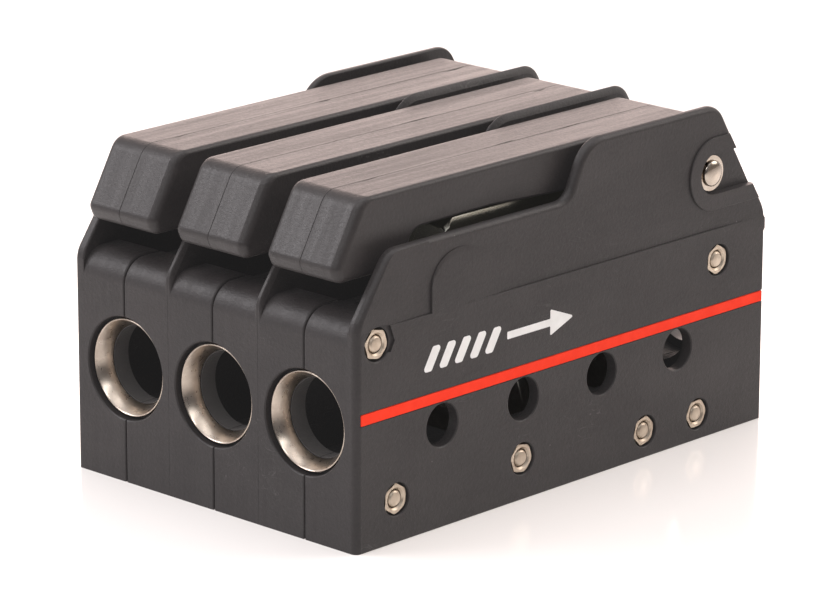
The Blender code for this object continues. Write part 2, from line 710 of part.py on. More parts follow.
def make_grip_ring(name, centre, along):
    """A plate with a rope hole, a foot bar that turns in the rails and a drive tab."""
    foot = RING_FOOT_HEIGHT
    half = RING_THICKNESS / 2
    plate = prism(name, box_outline(along - half, along + half, foot, foot + RING_SHOULDER),
                  centre - RING_HALF_WIDTH, centre + RING_HALF_WIDTH, "stainless")
    tab = prism(f"tool tab {name}", box_outline(along - half, along + half, foot + 20, foot + RING_TAB_TOP),
                centre - RING_TAB_HALF_WIDTH, centre + RING_TAB_HALF_WIDTH)
    combine(plate, as_tool(tab), "UNION")
    trunnion = cross_bar(f"tool trunnion {name}", TRUNNION_RADIUS, centre - TRUNNION_REACH,
                         centre + TRUNNION_REACH, along, foot, segments=12)
    combine(plate, as_tool(trunnion), "UNION")
    bm = bmesh.new()
    hole = [(0, -4), (RING_HOLE_RADIUS, -4), (RING_HOLE_RADIUS, 4), (0, 4)]
    add_turned(bm, hole, world(centre, along, ROPE_HEIGHT), (0, 1, 0), segments=18)
    combine(plate, as_tool(finish_object(f"tool rope hole {name}", bm)), "DIFFERENCE")
    pivot = world(centre, along, foot)
    hinge = bpy.data.objects.new(f"hinge {name}", None)
    bpy.context.collection.objects.link(hinge)
    hinge.location = pivot
    hinge.rotation_euler = (math.radians(RING_TILT_DEG), 0, 0)
    for obj in [plate] + [modifier.object for modifier in plate.modifiers]:
        obj.data.transform(Matrix.Translation(-pivot))
        obj.parent = hinge


def make_mechanism():
    for number, centre in enumerate(CLUTCH_CENTRES, start=1):
        make_carriage(number, centre)
        make_push_channel(number, centre)
        make_spring(number, centre)
        for index in range(RING_COUNT):
            name = f"grip_ring_{number}_{index + 1}"
            make_grip_ring(name, centre, RING_FIRST + RING_SPACING * index)


def main():
    clear_scene()
    make_casings()
    make_bushings()
    make_fasteners()
    make_pivot_pin()
    make_clips()
    make_stripes()
    make_handles()
    make_mechanism()


main()
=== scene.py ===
"""Looks for the triple rope clutch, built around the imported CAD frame.

Sizes are in millimetres. "Along" is a distance behind the casing's front face, an outline is a
list of (along, height) points, and a corner is (along, height, radius).
"""

import math

import bmesh
import bpy
from mathutils import Matrix, Vector

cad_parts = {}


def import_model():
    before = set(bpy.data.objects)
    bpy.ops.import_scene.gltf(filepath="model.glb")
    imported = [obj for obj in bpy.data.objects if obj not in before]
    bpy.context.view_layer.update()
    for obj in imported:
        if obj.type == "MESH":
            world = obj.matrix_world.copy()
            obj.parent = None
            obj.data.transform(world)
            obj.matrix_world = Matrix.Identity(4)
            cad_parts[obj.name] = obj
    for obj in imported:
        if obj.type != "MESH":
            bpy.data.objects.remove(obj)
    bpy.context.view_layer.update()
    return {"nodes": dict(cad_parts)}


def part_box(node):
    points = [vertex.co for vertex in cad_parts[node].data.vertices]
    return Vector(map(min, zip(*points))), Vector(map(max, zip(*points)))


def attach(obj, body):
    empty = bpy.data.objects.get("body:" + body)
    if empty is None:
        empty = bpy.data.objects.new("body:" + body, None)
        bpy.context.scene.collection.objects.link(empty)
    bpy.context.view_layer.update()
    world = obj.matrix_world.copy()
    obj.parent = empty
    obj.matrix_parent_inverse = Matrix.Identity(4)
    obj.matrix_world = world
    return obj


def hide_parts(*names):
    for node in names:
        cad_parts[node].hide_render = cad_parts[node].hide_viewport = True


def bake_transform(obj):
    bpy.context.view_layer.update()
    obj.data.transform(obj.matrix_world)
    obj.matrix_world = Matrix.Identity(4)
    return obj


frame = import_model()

MM = 0.001
GROOVE_HALF_WIDTH = 0.16
SHARP_EDGE_DEG = 32


# ---- layout, from the frame

def middle_of(node):
    """Centre of a CAD node's box as (across, along, height)."""
    low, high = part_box(node)
    centre = (low + high) / 2
    return (centre.x / MM, (centre.y - FRONT) / MM, centre.z / MM)


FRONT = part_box("left_middle_casing")[0].y
LENGTH = (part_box("left_middle_casing")[1].y - FRONT) / MM
HALF_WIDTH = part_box("right_end_casing")[1].x / MM
CLUTCH_CENTRES = [middle_of(f"front_bushing_{n}")[0] for n in (1, 2, 3)]
PITCH = CLUTCH_CENTRES[1] - CLUTCH_CENTRES[0]
ROPE_HEIGHT = middle_of("front_bushing_1")[2]
PIVOT = middle_of("handle_pivot_pin")[1:]
BOLT_PLACES = [middle_of(f"cross_bolt_nut_{n}")[1:] for n in range(1, 7)]
NUT_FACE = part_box("cross_bolt_nut_1")[1].x / MM
NUT_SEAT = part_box("cross_bolt_nut_1")[0].x / MM
BOLT_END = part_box("cross_bolt_1")[1].x / MM
HANDLE_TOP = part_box("handle_1")[1].z / MM
FENCE_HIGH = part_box("left_middle_casing")[1].z / MM
HANDLE_HALF_WIDTH = (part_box("handle_1")[1].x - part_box("handle_1")[0].x) / MM / 2
STRIPE_LOW, STRIPE_HIGH = (corner.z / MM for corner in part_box("side_stripe_right"))
CHANNEL_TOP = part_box("push_channel_1")[1].z / MM
CHANNEL_HALF_WIDTH = (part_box("push_channel_1")[1].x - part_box("push_channel_1")[0].x) / MM / 2

# Casing walls. A fence is the raised wall beside a handle, with a high rear part and a low front part.
HALF_SLOT = 16.7
SEAM_GAP = 0.15
FLOOR_TOP = 16.8
FRONT_DEPTH = 14.0
FRONT_TOP = 66.3
REAR_START = 147.0
REAR_TOP = 64.0
FENCE_LOW = 84.2
FENCE_FRONT = 13.7
FENCE_FRONT_FOOT = 65.0
FENCE_STEP_FOOT = 86.3
FENCE_STEP_TOP = 93.8
RAKE_TOP = 152.0
RAKE_FOOT = 66.0
SIDE_STEP = 0.6
PAD_END = 29.0
LABEL_TOP = 63.1
OVERLAP = 1.0
LEDGE_HALF_SPAN = 13.0
LEDGE_LOW, LEDGE_HIGH = 54.5, 58.7
RAIL_START, RAIL_END, RAIL_TOP = 54.0, 126.0, 23.0
HINGE_BOSS_RADIUS = 9.0
HINGE_BOSS_REACH = 2.5
LIP_START, LIP_BOTTOM = 158.0, 58.2

# The moulded tab above the label band: front edge, rounded shoulder, then a fade to nothing.
TAB_FRONT = 29.8
TAB_SHOULDER = 41.6
TAB_END = 71.6
TAB_FRONT_HEIGHT = 70.0
TAB_TOP_HEIGHT = 79.8
TAB_FADE = 26.0
TAB_SINK = 0.05

# Holes and pockets in the casing.
BOLT_HOLE_RADIUS = 2.75
RING_TAB_HOLE_RADIUS = 2.05
RING_TAB_REACH = 15.8
RING_START, RING_SPACING, RING_TAB_HEIGHT = 60.0, 20.0, 19.0
SIDE_HOLE_RADIUS = 6.3
SIDE_HOLE_START, SIDE_HOLE_SPACING, SIDE_HOLE_HEIGHT = 34.2, 33.4, 29.9
SIDE_HOLE_DEPTH_RIGHT, SIDE_HOLE_DEPTH_LEFT = 4.6, 2.8
MOUNT_HOLE_RADIUS = 3.2
MOUNT_HOLE_DEPTH = 12.0
MOUNT_HOLE_PLACES = (40.0, 133.0)
POCKET_RADIUS = 4.8
FIRST_POCKET_RADIUS = 4.9
POCKET_DEPTH = 3.7
RELIEF_DEPTH = 0.7
STRIPE_GROOVE_DEPTH = 0.9

# Rope way and bushings.
BORE_RADIUS = 11.4
RING_RECESS = 1.4
RECESS_RADIUS = 15.3
FLANGE_RADIUS = 14.5
FLANGE_DEPTH = 2.2
SLEEVE_RADIUS = 12.9
THROAT_RADIUS = 11.6
RIM_RADIUS = 0.4
BUSHING_DEPTH = 4.8
BORE_DEPTH = 12.0
FIT = 0.3

# Pivot pin, clips and the channel that they sit in.
PIN_RADIUS = 3.9
PIN_GROOVE_RADIUS = 3.1
CLIP_RADIUS = 5.4
CLIP_THICKNESS = 0.8
CLIP_CLEARANCE = 0.15
CLIP_OPEN_FROM, CLIP_OPEN_TO = 107, 163
CLIP_END_RADIUS = 1.05
CLIP_MIDDLE_RADIUS = 4.35
CHANNEL_HALF_HEIGHT = 6.2
CHANNEL_DEPTH = 2.6
BOSS_RADIUS = 11.0

# Fasteners: M5 bolts with nuts 8 mm across flats, each turned as it happens to sit.
ACROSS_FLATS = 8.0
THREAD_RADIUS = 2.45
NUT_TURNS_DEG = (48.0, 27.0, 4.0, 14.0, 50.0, 28.0)

# Mechanism: handle, cam, roller, push channel and spring.
RING_LEVER = 42.0
RING_TILT_DEG = 18
TRAVEL = RING_LEVER * math.tan(math.radians(RING_TILT_DEG))
OPEN_DEG = 105.0
ROLLER_RADIUS = 2.6
CLOSED_REACH = TRAVEL + 10.8
CAM_HALF_WIDTH = 5.8
HUB_RADIUS = 6.6
HEEL_RADIUS = 10.5
HANDLE_REAR = 145.5
NOSE_BOTTOM = 75.8
HANDLE_WALL = 2.5
HANDLE_ROOF = 95.2
SHEET = 1.5
PUSH_CHANNEL_FRONT = 47.8
PUSH_CHANNEL_SLOPE_END = 51.8
PUSH_CHANNEL_REAR = 117.0
PUSH_CHANNEL_NOSE_DROP = 2.2
EYE_RADIUS = 3.9
WIRE_RADIUS = 0.6
SPRING_DROP = 4.0
SPRING_TURNS = 5.5


# ---- mesh helpers

def world(across, along, height):
    """A point in metres in the frame's axes."""
    return Vector((across * MM, FRONT + along * MM, height * MM))


def arc(centre, radius, start_deg, end_deg, steps):
    """Points on a circle, both ends included."""
    points = []
    for step in range(steps + 1):
        angle = math.radians(start_deg + (end_deg - start_deg) * step / steps)
        points.append((centre[0] + radius * math.cos(angle), centre[1] + radius * math.sin(angle)))
    return points


def corner_steps(corners):
    return [0 if radius == 0 else max(5, round(4 + radius)) for _, _, radius in corners]


def rounded(corners, steps=None):
    """An outline from corners, each rounded by its radius."""
    steps = steps or corner_steps(corners)
    outline = []
    for index, (along, height, radius) in enumerate(corners):
        if steps[index] == 0:
            outline.append((along, height))
            continue
        here = Vector((along, height))
        before = (Vector(corners[index - 1][:2]) - here).normalized()
        after = (Vector(corners[(index + 1) % len(corners)][:2]) - here).normalized()
        half_angle = before.angle(after) / 2
        centre = here + (before + after).normalized() * (radius / math.sin(half_angle))
        start = here + before * (radius / math.tan(half_angle)) - centre
        end = here + after * (radius / math.tan(half_angle)) - centre
        sweep = start.angle_signed(end)
        for step in range(steps[index] + 1):
            spoke = start.copy()
            spoke.rotate(Matrix.Rotation(-sweep * step / steps[index], 2))
            outline.append(tuple(centre + spoke))
    return outline


def signed_area(corners):
    total = 0.0
    for index, corner in enumerate(corners):
        total += corners[index - 1][0] * corner[1] - corner[0] * corners[index - 1][1]
    return total / 2


def moved_in(corners, offsets):
    """The corners with each edge moved inwards by its own offset. Edge i starts at corner i."""
    turn = 1 if signed_area(corners) > 0 else -1
    result = []
    for index, (along, height, radius) in enumerate(corners):
        here = Vector((along, height))
        arriving = (here - Vector(corners[index - 1][:2])).normalized()
        leaving = (Vector(corners[(index + 1) % len(corners)][:2]) - here).normalized()
        first, second = offsets[index - 1], offsets[index]
        n1 = Vector((-arriving.y, arriving.x)) * turn
        n2 = Vector((-leaving.y, leaving.x)) * turn
        det = n1.x * n2.y - n1.y * n2.x
        shift = Vector(((first * n2.y - second * n1.y) / det, (n1.x * second - n2.x * first) / det))
        if radius:
            change = (first + second) / 2
            radius = max(radius - change * (1 if det * turn > 0 else -1), 0.03)
        result.append((*(here + shift), radius))
    return result


def fillet_levels(fillet, steps=7):
    return [fillet * (1 - math.cos(math.pi / 2 * step / steps)) for step in range(steps + 1)]


def fillet_offset(fillet, level):
    """How far an edge moves in at a level.

    A fillet is a radius, or (across, reach) for a drafted ridge."""
    across, reach = fillet if isinstance(fillet, tuple) else (fillet, None)
    if across == 0 or level >= across:
        return 0.0
    share = 1 - max(level, 0.0) / across
    return across * (1 - math.sqrt(1 - share ** 2)) if reach is None else reach * share ** 1.5


def fillet_depths(fillets):
    """The different sizes across of a list of fillets."""
    return {fillet[0] if isinstance(fillet, tuple) else fillet for fillet in fillets} - {0.0}


def loft(bm, rings):
    """A closed body through rings of points, with a flat cap at each end."""
    rows = [[bm.verts.new(point) for point in ring] for ring in rings]
    count = len(rows[0])
    for row, following in zip(rows, rows[1:]):
        for index in range(count):
            after = (index + 1) % count
            bm.faces.new((row[index], row[after], following[after], following[index]))
    bm.faces.new(rows[0][::-1])
    bm.faces.new(rows[-1])


def add_filleted(bm, corners, low, high, low_fillets=0.0, high_fillets=0.0, grooves=()):
    """Extrude corners across from low to high, with a fillet of its own radius on each edge.

    A groove is (across, {edge: depth}), cut round the body."""
    count = len(corners)
    low_fillets = list(low_fillets) if hasattr(low_fillets, "__len__") else [low_fillets] * count
    high_fillets = list(high_fillets) if hasattr(high_fillets, "__len__") else [high_fillets] * count
    levels = {round(low + level, 4) for f in fillet_depths(low_fillets) for level in fillet_levels(f)}
    levels |= {round(high - level, 4) for f in fillet_depths(high_fillets)
               for level in fillet_levels(f)}
    levels |= {low, high}
    depths = {}
    for across, cut in grooves:
        levels |= {across - GROOVE_HALF_WIDTH, across, across + GROOVE_HALF_WIDTH}
        depths[across] = cut
    steps = corner_steps(corners)
    rings = []
    last = None
    for level in sorted(levels):
        if last is not None and level - last < 0.004:
            continue
        last = level
        offsets = []
        for edge in range(count):
            offset = fillet_offset(low_fillets[edge], level - low)
            offset += fillet_offset(high_fillets[edge], high - level)
            offsets.append(offset + depths.get(level, {}).get(edge, 0.0))
        outline = rounded(moved_in(corners, offsets), steps)
        rings.append([world(level, along, height) for along, height in outline])
    loft(bm, rings)


def add_prism(bm, outline, low, high):
    loft(bm, [[world(across, along, height) for along, height in outline] for across in (low, high)])


def add_cross_bar(bm, radius, low, high, along, height, segments=48):
    outline = arc((along, height), radius, 0, 360 - 360 / segments, segments - 1)
    add_prism(bm, outline, min(low, high), max(low, high))


def add_turned(bm, profile, centre, axis, segments=64):
    """Revolve a closed (radius, distance) profile about an axis through centre."""
    axis = Vector(axis)
    side = Vector((1, 0, 0)) if axis.z else Vector((0, 0, 1))
    other = axis.cross(side)
    columns = []
    for step in range(segments):
        angle = math.tau * step / segments
        spoke = side * math.cos(angle) + other * math.sin(angle)
        columns.append([None if radius < 1e-6 else
                        bm.verts.new(centre + (spoke * radius + axis * distance) * MM)
                        for radius, distance in profile])
    poles = [bm.verts.new(centre + axis * distance * MM) if radius < 1e-6 else None
             for radius, distance in profile]
    for step in range(segments):
        here, there = columns[step], columns[(step + 1) % segments]
        for index in range(len(profile)):
            before = index - 1
            corners = [here[before] or poles[before], here[index] or poles[index],
                       there[index] or poles[index], there[before] or poles[before]]
            face = list(dict.fromkeys(corners))
            if len(face) > 2:
                bm.faces.new(face)


def box_outline(start, end, bottom, top):
    return [(start, bottom), (end, bottom), (end, top), (start, top)]


def box_corners(start, end, bottom, top, radius=0.0):
    return [(along, height, radius) for along, height in box_outline(start, end, bottom, top)]


def to_object(name, bm):
    bmesh.ops.recalc_face_normals(bm, faces=bm.faces)
    mesh = bpy.data.meshes.new(name)
    bm.to_mesh(mesh)
    bm.free()
    obj = bpy.data.objects.new(name, mesh)
    bpy.context.collection.objects.link(obj)
    return obj


def body(name, build, *args):
    """An object made by a function that fills a bmesh."""
    bm = bmesh.new()
    build(bm, *args)
    return to_object(name, bm)


def by_side(side, inner, outer):
    """The values for a body's low and high ends across, from those for its inner and outer ones."""
    return (inner, outer) if side > 0 else (outer, inner)


def apply_modifiers(obj):
    graph = bpy.context.evaluated_depsgraph_get()
    made = bpy.data.meshes.new_from_object(obj.evaluated_get(graph))
    obj.modifiers.clear()
    obj.data = made


def shape(target, tools, operation):
    """Join or cut with tools, apply the result and remove the tools."""
    for tool in tools:
        modifier = target.modifiers.new("shape", "BOOLEAN")
        modifier.operation = operation
        modifier.object = tool
        modifier.solver = "MANIFOLD"
    apply_modifiers(target)
    for tool in tools:
        bpy.data.objects.remove(tool)
    return target


def add_bevel(obj, width, angle_deg):
    bevel = obj.modifiers.new("soft edges", "BEVEL")
    bevel.width = width * MM
    bevel.segments = 2
    bevel.limit_method = "ANGLE"
    bevel.angle_limit = math.radians(angle_deg)
    bevel.harden_normals = False


def smooth(obj):
    """Smooth shading that keeps flat faces flat and hard edges hard."""
    bm = bmesh.new()
    bm.from_mesh(obj.data)
    bmesh.ops.remove_doubles(bm, verts=bm.verts, dist=0.002 * MM)
    bmesh.ops.dissolve_degenerate(bm, edges=bm.edges, dist=0.002 * MM)
    bm.to_mesh(obj.data)
    bm.free()
    obj.data.shade_smooth()
    obj.data.set_sharp_from_angle(angle=math.radians(SHARP_EDGE_DEG))
    weighted = obj.modifiers.new("weighted normals", "WEIGHTED_NORMAL")
    weighted.keep_sharp = True


# ---- materials

class Nodes:
    """A small builder for the node tree of a material or of the world."""

    def __init__(self, owner, shader="Principled BSDF", coordinates="Object"):
        owner.use_nodes = True
        self.material = owner
        self.tree = owner.node_tree
        self.shader = self.tree.nodes[shader]
        self.place = self.tree.nodes.new("ShaderNodeTexCoord").outputs[coordinates]

    def node(self, kind, values=None, **settings):
        made = self.tree.nodes.new(kind)
        for key, value in settings.items():
            setattr(made, key, value)
        for key, value in (values or {}).items():
            if isinstance(value, bpy.types.NodeSocket):
                self.tree.links.new(value, made.inputs[key])
            else:
                made.inputs[key].default_value = value
        return made

    def stretched(self, scale):
        return self.node("ShaderNodeMapping", {"Vector": self.place, "Scale": scale}).outputs[0]

    def noise(self, scale, detail=4.0, roughness=0.55, distortion=0.0, place=None):
        values = {"Vector": place or self.place, "Scale": scale, "Detail": detail,
                  "Roughness": roughness, "Distortion": distortion}
        return self.node("ShaderNodeTexNoise", values).outputs["Fac"]

    def ranged(self, value, low, high, to_low, to_high):
        values = {"Value": value, "From Min": low, "From Max": high, "To Min": to_low, "To Max": to_high}
        return self.node("ShaderNodeMapRange", values).outputs[0]

    def math(self, operation, first, second=0.0):
        return self.node("ShaderNodeMath", {0: first, 1: second}, operation=operation).outputs[0]

    def mixed(self, factor, first, second):
        first, second = ((*c, 1.0) if isinstance(c, tuple) else c for c in (first, second))
        return self.node("ShaderNodeMix", {0: factor, 6: first, 7: second}, data_type="RGBA").outputs[2]

    def bump(self, height, distance, strength=1.0, below=None):
        values = {"Height": height, "Distance": distance, "Strength": strength}
        if below:
            values["Normal"] = below
        return self.node("ShaderNodeBump", values).outputs[0]

    def link(self, socket, value):
        self.tree.links.new(value, self.shader.inputs[socket])

    def set(self, socket, value):
        self.shader.inputs[socket].default_value = value


def rope_axis_distance(n):
    """Distance from the nearest rope's centre line."""
    place = n.node("ShaderNodeSeparateXYZ", {0: n.place}).outputs
    half_pitch = PITCH / 2 * MM
    limits = {0: place[0], 1: half_pitch, 2: -half_pitch}
    across = n.node("ShaderNodeMath", limits, operation="WRAP").outputs[0]
    height = n.math("SUBTRACT", place[2], ROPE_HEIGHT * MM)
    squares = [n.math("MULTIPLY", value, value) for value in (across, height)]
    return n.math("SQRT", n.math("ADD", *squares))


def moulded(name, dark, light, rough_low, rough_high, grain=1.0, scuffs=0.25, gloss=0.33):
    """Glass-filled nylon: mottled grey with fine grain, lengthwise streaks, a few scuffs and specks.

    The wall of the rope bores is painted paler, as painted light that stands in for the sheen inside the
    bores."""
    n = Nodes(bpy.data.materials.new(name))
    tone = n.noise(55.0, 5.0, 0.6)
    flow = n.noise(1.0, 3.0, 0.6, 0.4, n.stretched((60.0, 26.0, 170.0)))
    grit = n.noise(1200.0, 2.0, 0.6)
    blend = n.math("ADD", n.math("MULTIPLY", tone, 0.35), n.math("MULTIPLY", flow, 0.25))
    blend = n.math("ADD", blend, n.math("MULTIPLY", grit, 0.4))
    colour = n.mixed(n.ranged(blend, 0.40, 0.60, 0.0, 1.0), dark, light)
    wiry = n.noise(1.0, 2.0, 0.5, 2.5, n.stretched((90.0, 35.0, 130.0)))
    line = n.ranged(n.math("ABSOLUTE", n.math("SUBTRACT", wiry, 0.5)), 0.0, 0.006, 1.0, 0.0)
    patch = n.ranged(n.noise(34.0, 2.0), 0.56, 0.66, 0.0, 1.0)
    scuff = n.math("MULTIPLY", n.math("MULTIPLY", line, patch), scuffs)
    cells = n.node("ShaderNodeTexVoronoi", {"Vector": n.place, "Scale": 150.0})
    near = n.ranged(cells.outputs["Distance"], 0.02, 0.035, 1.0, 0.0)
    chosen = n.math("GREATER_THAN", n.noise(150.0, 0.0), 0.64)
    speck = n.math("MULTIPLY", n.math("MULTIPLY", near, chosen), 0.35)
    # Painted light: the walls of the rope bores are painted paler to stand in for the sheen of light
    # inside them.
    wall_start, wall_end = (BORE_RADIUS + 0.1) * MM, (BORE_RADIUS + 0.3) * MM
    bore_painted_light = n.ranged(rope_axis_distance(n), wall_start, wall_end, 1.0, 0.0)
    colour = n.mixed(bore_painted_light, colour, (0.075, 0.07, 0.068))
    marked = n.mixed(n.math("MAXIMUM", scuff, speck), colour, (0.30, 0.29, 0.28))
    n.link("Base Color", marked)
    streaks = n.noise(1.0, 3.0, 0.6, 0.3, n.stretched((420.0, 13.0, 30.0)))
    speckle = n.noise(1500.0, 3.0, 0.6)
    rough = n.math("ADD", n.math("MULTIPLY", speckle, 0.4), n.math("MULTIPLY", streaks, 0.6))
    n.link("Roughness", n.ranged(rough, 0.38, 0.62, rough_low, rough_high))
    fine = n.noise(2600.0, 2.0, 0.6)
    coarse = n.noise(900.0, 3.0, 0.6)
    rolling = n.noise(1.0, 2.0, 0.4, 0.0, n.stretched((60.0, 22.0, 60.0)))
    normal = n.bump(rolling, 0.00003 * grain, 0.4)
    normal = n.bump(coarse, 0.00014 * grain, 0.8, normal)
    normal = n.bump(fine, 0.00008 * grain, 0.9, normal)
    n.link("Normal", normal)
    n.set("Specular IOR Level", gloss)
    # Painted light: a faint glow lifts the darkest shade of the nylon everywhere. It is no lamp.
    n.set("Emission Color", (1.0, 0.97, 0.98, 1.0))
    n.set("Emission Strength", 0.011)
    return n.material


def metal(name, base, pale, rough_low, rough_high, marks, depth=0.000006):
    """Stainless or plated steel: faint tarnish, fine tool marks along one direction."""
    n = Nodes(bpy.data.materials.new(name))
    tarnish = n.noise(240.0, 4.0, 0.6)
    n.link("Base Color", n.mixed(n.ranged(tarnish, 0.35, 0.65, 0.0, 1.0), base, pale))
    n.set("Metallic", 1.0)
    tool = n.noise(1.0, 3.0, 0.6, 0.0, n.stretched(marks))
    rough = n.math("ADD", n.math("MULTIPLY", tool, 0.5), n.math("MULTIPLY", n.noise(700.0, 3.0), 0.5))
    n.link("Roughness", n.ranged(rough, 0.3, 0.7, rough_low, rough_high))
    n.link("Normal", n.bump(tool, depth, 0.5))
    return n.material


def painted(name, base, pale, rough_low, rough_high, gloss=0.4):
    """Flat coloured plastic or ink with slight unevenness."""
    n = Nodes(bpy.data.materials.new(name))
    n.link("Base Color", n.mixed(n.ranged(n.noise(180.0, 4.0), 0.35, 0.65, 0.0, 1.0), base, pale))
    n.link("Roughness", n.ranged(n.noise(500.0, 3.0), 0.3, 0.7, rough_low, rough_high))
    n.link("Normal", n.bump(n.noise(1400.0, 3.0), 0.00002, 0.5))
    n.set("Specular IOR Level", gloss)
    return n.material


CASING = moulded("casing nylon", (0.0175, 0.0145, 0.0145), (0.0260, 0.0215, 0.0215), 0.39, 0.52,
                 scuffs=0.14)
HANDLE = moulded("handle nylon", (0.0195, 0.016, 0.016), (0.0265, 0.022, 0.0215), 0.36, 0.49,
                 grain=0.8, scuffs=0.26, gloss=0.34)
CARRIAGE = moulded("carriage nylon", (0.022, 0.022, 0.024), (0.032, 0.032, 0.034), 0.42, 0.56,
                   grain=0.8, scuffs=0.2)
POLISHED = metal("polished stainless", (0.45, 0.38, 0.32), (0.55, 0.48, 0.41), 0.25, 0.34,
                 (300.0, 3000.0, 300.0), 0.0)
SHEET_STEEL = metal("channel stainless", (0.86, 0.86, 0.76), (0.91, 0.91, 0.82), 0.20, 0.24,
                    (2600.0, 90.0, 2600.0), 0.0000015)
RING_STEEL = metal("ring steel", (0.50, 0.48, 0.45), (0.62, 0.60, 0.56), 0.30, 0.46,
                   (260.0, 2600.0, 2200.0), 0.000012)
SPRING_STEEL = metal("spring steel", (0.55, 0.53, 0.50), (0.66, 0.64, 0.61), 0.20, 0.34,
                     (1800.0, 1800.0, 1800.0))
PIN_STEEL = metal("pin stainless", (0.44, 0.38, 0.32), (0.53, 0.47, 0.41), 0.15, 0.22,
                  (900.0, 900.0, 900.0))
FASTENER = metal("fastener steel", (0.47, 0.39, 0.31), (0.56, 0.48, 0.39), 0.36, 0.50,
                 (1500.0, 1500.0, 1500.0), 0.00002)
STRIPE = painted("stripe red", (0.93, 0.034, 0.008), (0.98, 0.044, 0.012), 0.50, 0.62, 0.2)
INK = painted("white print", (0.78, 0.77, 0.76), (0.86, 0.85, 0.84), 0.5, 0.7)


def finish_piece(obj, material, body_name, slot_name, *replaced):
    """Give a piece its material, body and the CAD nodes that it stands for. The slot name is not used.
    """
    obj.data.materials.clear()
    obj.data.materials.append(material)
    smooth(obj)
    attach(obj, body_name)
    if replaced:
        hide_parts(*replaced)


# ---- casing

def fence_corners():
    """Side view of a casing wall."""
    return [
        (0, 0, 0), (LENGTH, 0, 0), (LENGTH, RAKE_FOOT, 8), (RAKE_TOP, FENCE_HIGH, 8),
        (FENCE_STEP_TOP, FENCE_HIGH, 12), (FENCE_STEP_FOOT, FENCE_LOW, 6), (FENCE_FRONT, FENCE_LOW, 7),
        (0, FENCE_FRONT_FOOT, 8),
    ]


def trough_corners():
    """Side view of the space between two walls: front block, floor and rear block."""
    return [
        (0, 0, 0), (LENGTH, 0, 0), (LENGTH, REAR_TOP, 6), (REAR_START, REAR_TOP, 0),
        (REAR_START, FLOOR_TOP, 0), (FRONT_DEPTH, FLOOR_TOP, 0), (FRONT_DEPTH, FRONT_TOP, 0),
        (0, FRONT_TOP, 7.6),
    ]


def rope_way_profile(depth_beyond):
    """Stepped bore for a bushing and its rope, as (radius, depth)."""
    chamfer = 0.35
    flange_floor = RING_RECESS + FLANGE_DEPTH + FIT
    sleeve_floor = RING_RECESS + BUSHING_DEPTH + FIT
    return [
        (0, -2), (RECESS_RADIUS + chamfer + 2, -2), (RECESS_RADIUS, chamfer),
        (RECESS_RADIUS, flange_floor),
        (SLEEVE_RADIUS + FIT, flange_floor), (SLEEVE_RADIUS + FIT, sleeve_floor),
        (BORE_RADIUS, sleeve_floor), (BORE_RADIUS, BORE_DEPTH), (BORE_RADIUS + 2.5, BORE_DEPTH + 0.6),
        (BORE_RADIUS + 2.5, depth_beyond), (0, depth_beyond),
    ]


def chamfered_hole(radius, depth, chamfer):
    """Profile of a blind hole with a chamfered mouth, as (radius, depth)."""
    return [(0, -2), (radius + chamfer + 2, -2), (radius, chamfer), (radius, depth), (0, depth)]


def rope_way_tool(centres):
    def build(bm):
        for centre in centres:
            front = rope_way_profile(FRONT_DEPTH + 2)
            add_turned(bm, front, world(centre, 0, ROPE_HEIGHT), (0, 1, 0), 96)
            rear = rope_way_profile(LENGTH - REAR_START + 2)
            add_turned(bm, rear, world(centre, LENGTH, ROPE_HEIGHT), (0, -1, 0), 96)
    return body("tool rope way", build)


def cross_hole_tool(low, high, centres):
    def build(bm):
        for along, height in BOLT_PLACES:
            add_cross_bar(bm, BOLT_HOLE_RADIUS, low, high, along, height, 32)
        add_cross_bar(bm, PIN_RADIUS + FIT, low, high, *PIVOT)
        for centre in centres:
            ends = (max(low, centre - RING_TAB_REACH), min(high, centre + RING_TAB_REACH))
            for index in range(4):
                add_cross_bar(bm, RING_TAB_HOLE_RADIUS, *ends, RING_START + RING_SPACING * index,
                              RING_TAB_HEIGHT, 24)
    return body("tool cross holes", build)


def half_clutch_tools(name, centre, side):
    """Trough half, carriage ledge, ring rail and hinge boss on one side of a clutch."""
    near = centre + side * SEAM_GAP
    far = centre + side * (HALF_SLOT + OVERLAP)
    low, high = min(near, far), max(near, far)
    seam_fillets = [0.3, 0.55, 0.9, 0.0, 0.0, 0.0, 0.9, 0.5]
    plain = [0.0] * 8
    fillets = by_side(side, seam_fillets, plain)
    trough = body(f"trough {name}", add_filleted, trough_corners(), low, high, *fillets)
    inner = centre + side * LEDGE_HALF_SPAN
    ends = (min(inner, far), max(inner, far))
    ledge = box_outline(FRONT_DEPTH - OVERLAP, REAR_START + OVERLAP, LEDGE_LOW, LEDGE_HIGH)
    ledge_tool = body(f"ledge {name}", add_prism, ledge, *ends)
    rail = box_outline(RAIL_START, RAIL_END, FLOOR_TOP - OVERLAP, RAIL_TOP)
    rail_tool = body(f"rail {name}", add_prism, rail, *ends)
    boss_face = centre + side * (HALF_SLOT - HINGE_BOSS_REACH)
    boss = body(f"boss {name}", add_cross_bar, HINGE_BOSS_RADIUS, boss_face, far, *PIVOT, 48)
    return [trough, ledge_tool, rail_tool, boss]


def mount_hole_tool(across):
    profile = chamfered_hole(MOUNT_HOLE_RADIUS, MOUNT_HOLE_DEPTH, 0.4)

    def build(bm):
        for along in MOUNT_HOLE_PLACES:
            add_turned(bm, profile, world(across, along, 0), (0, 0, 1), 32)
    return body("tool mount holes", build)


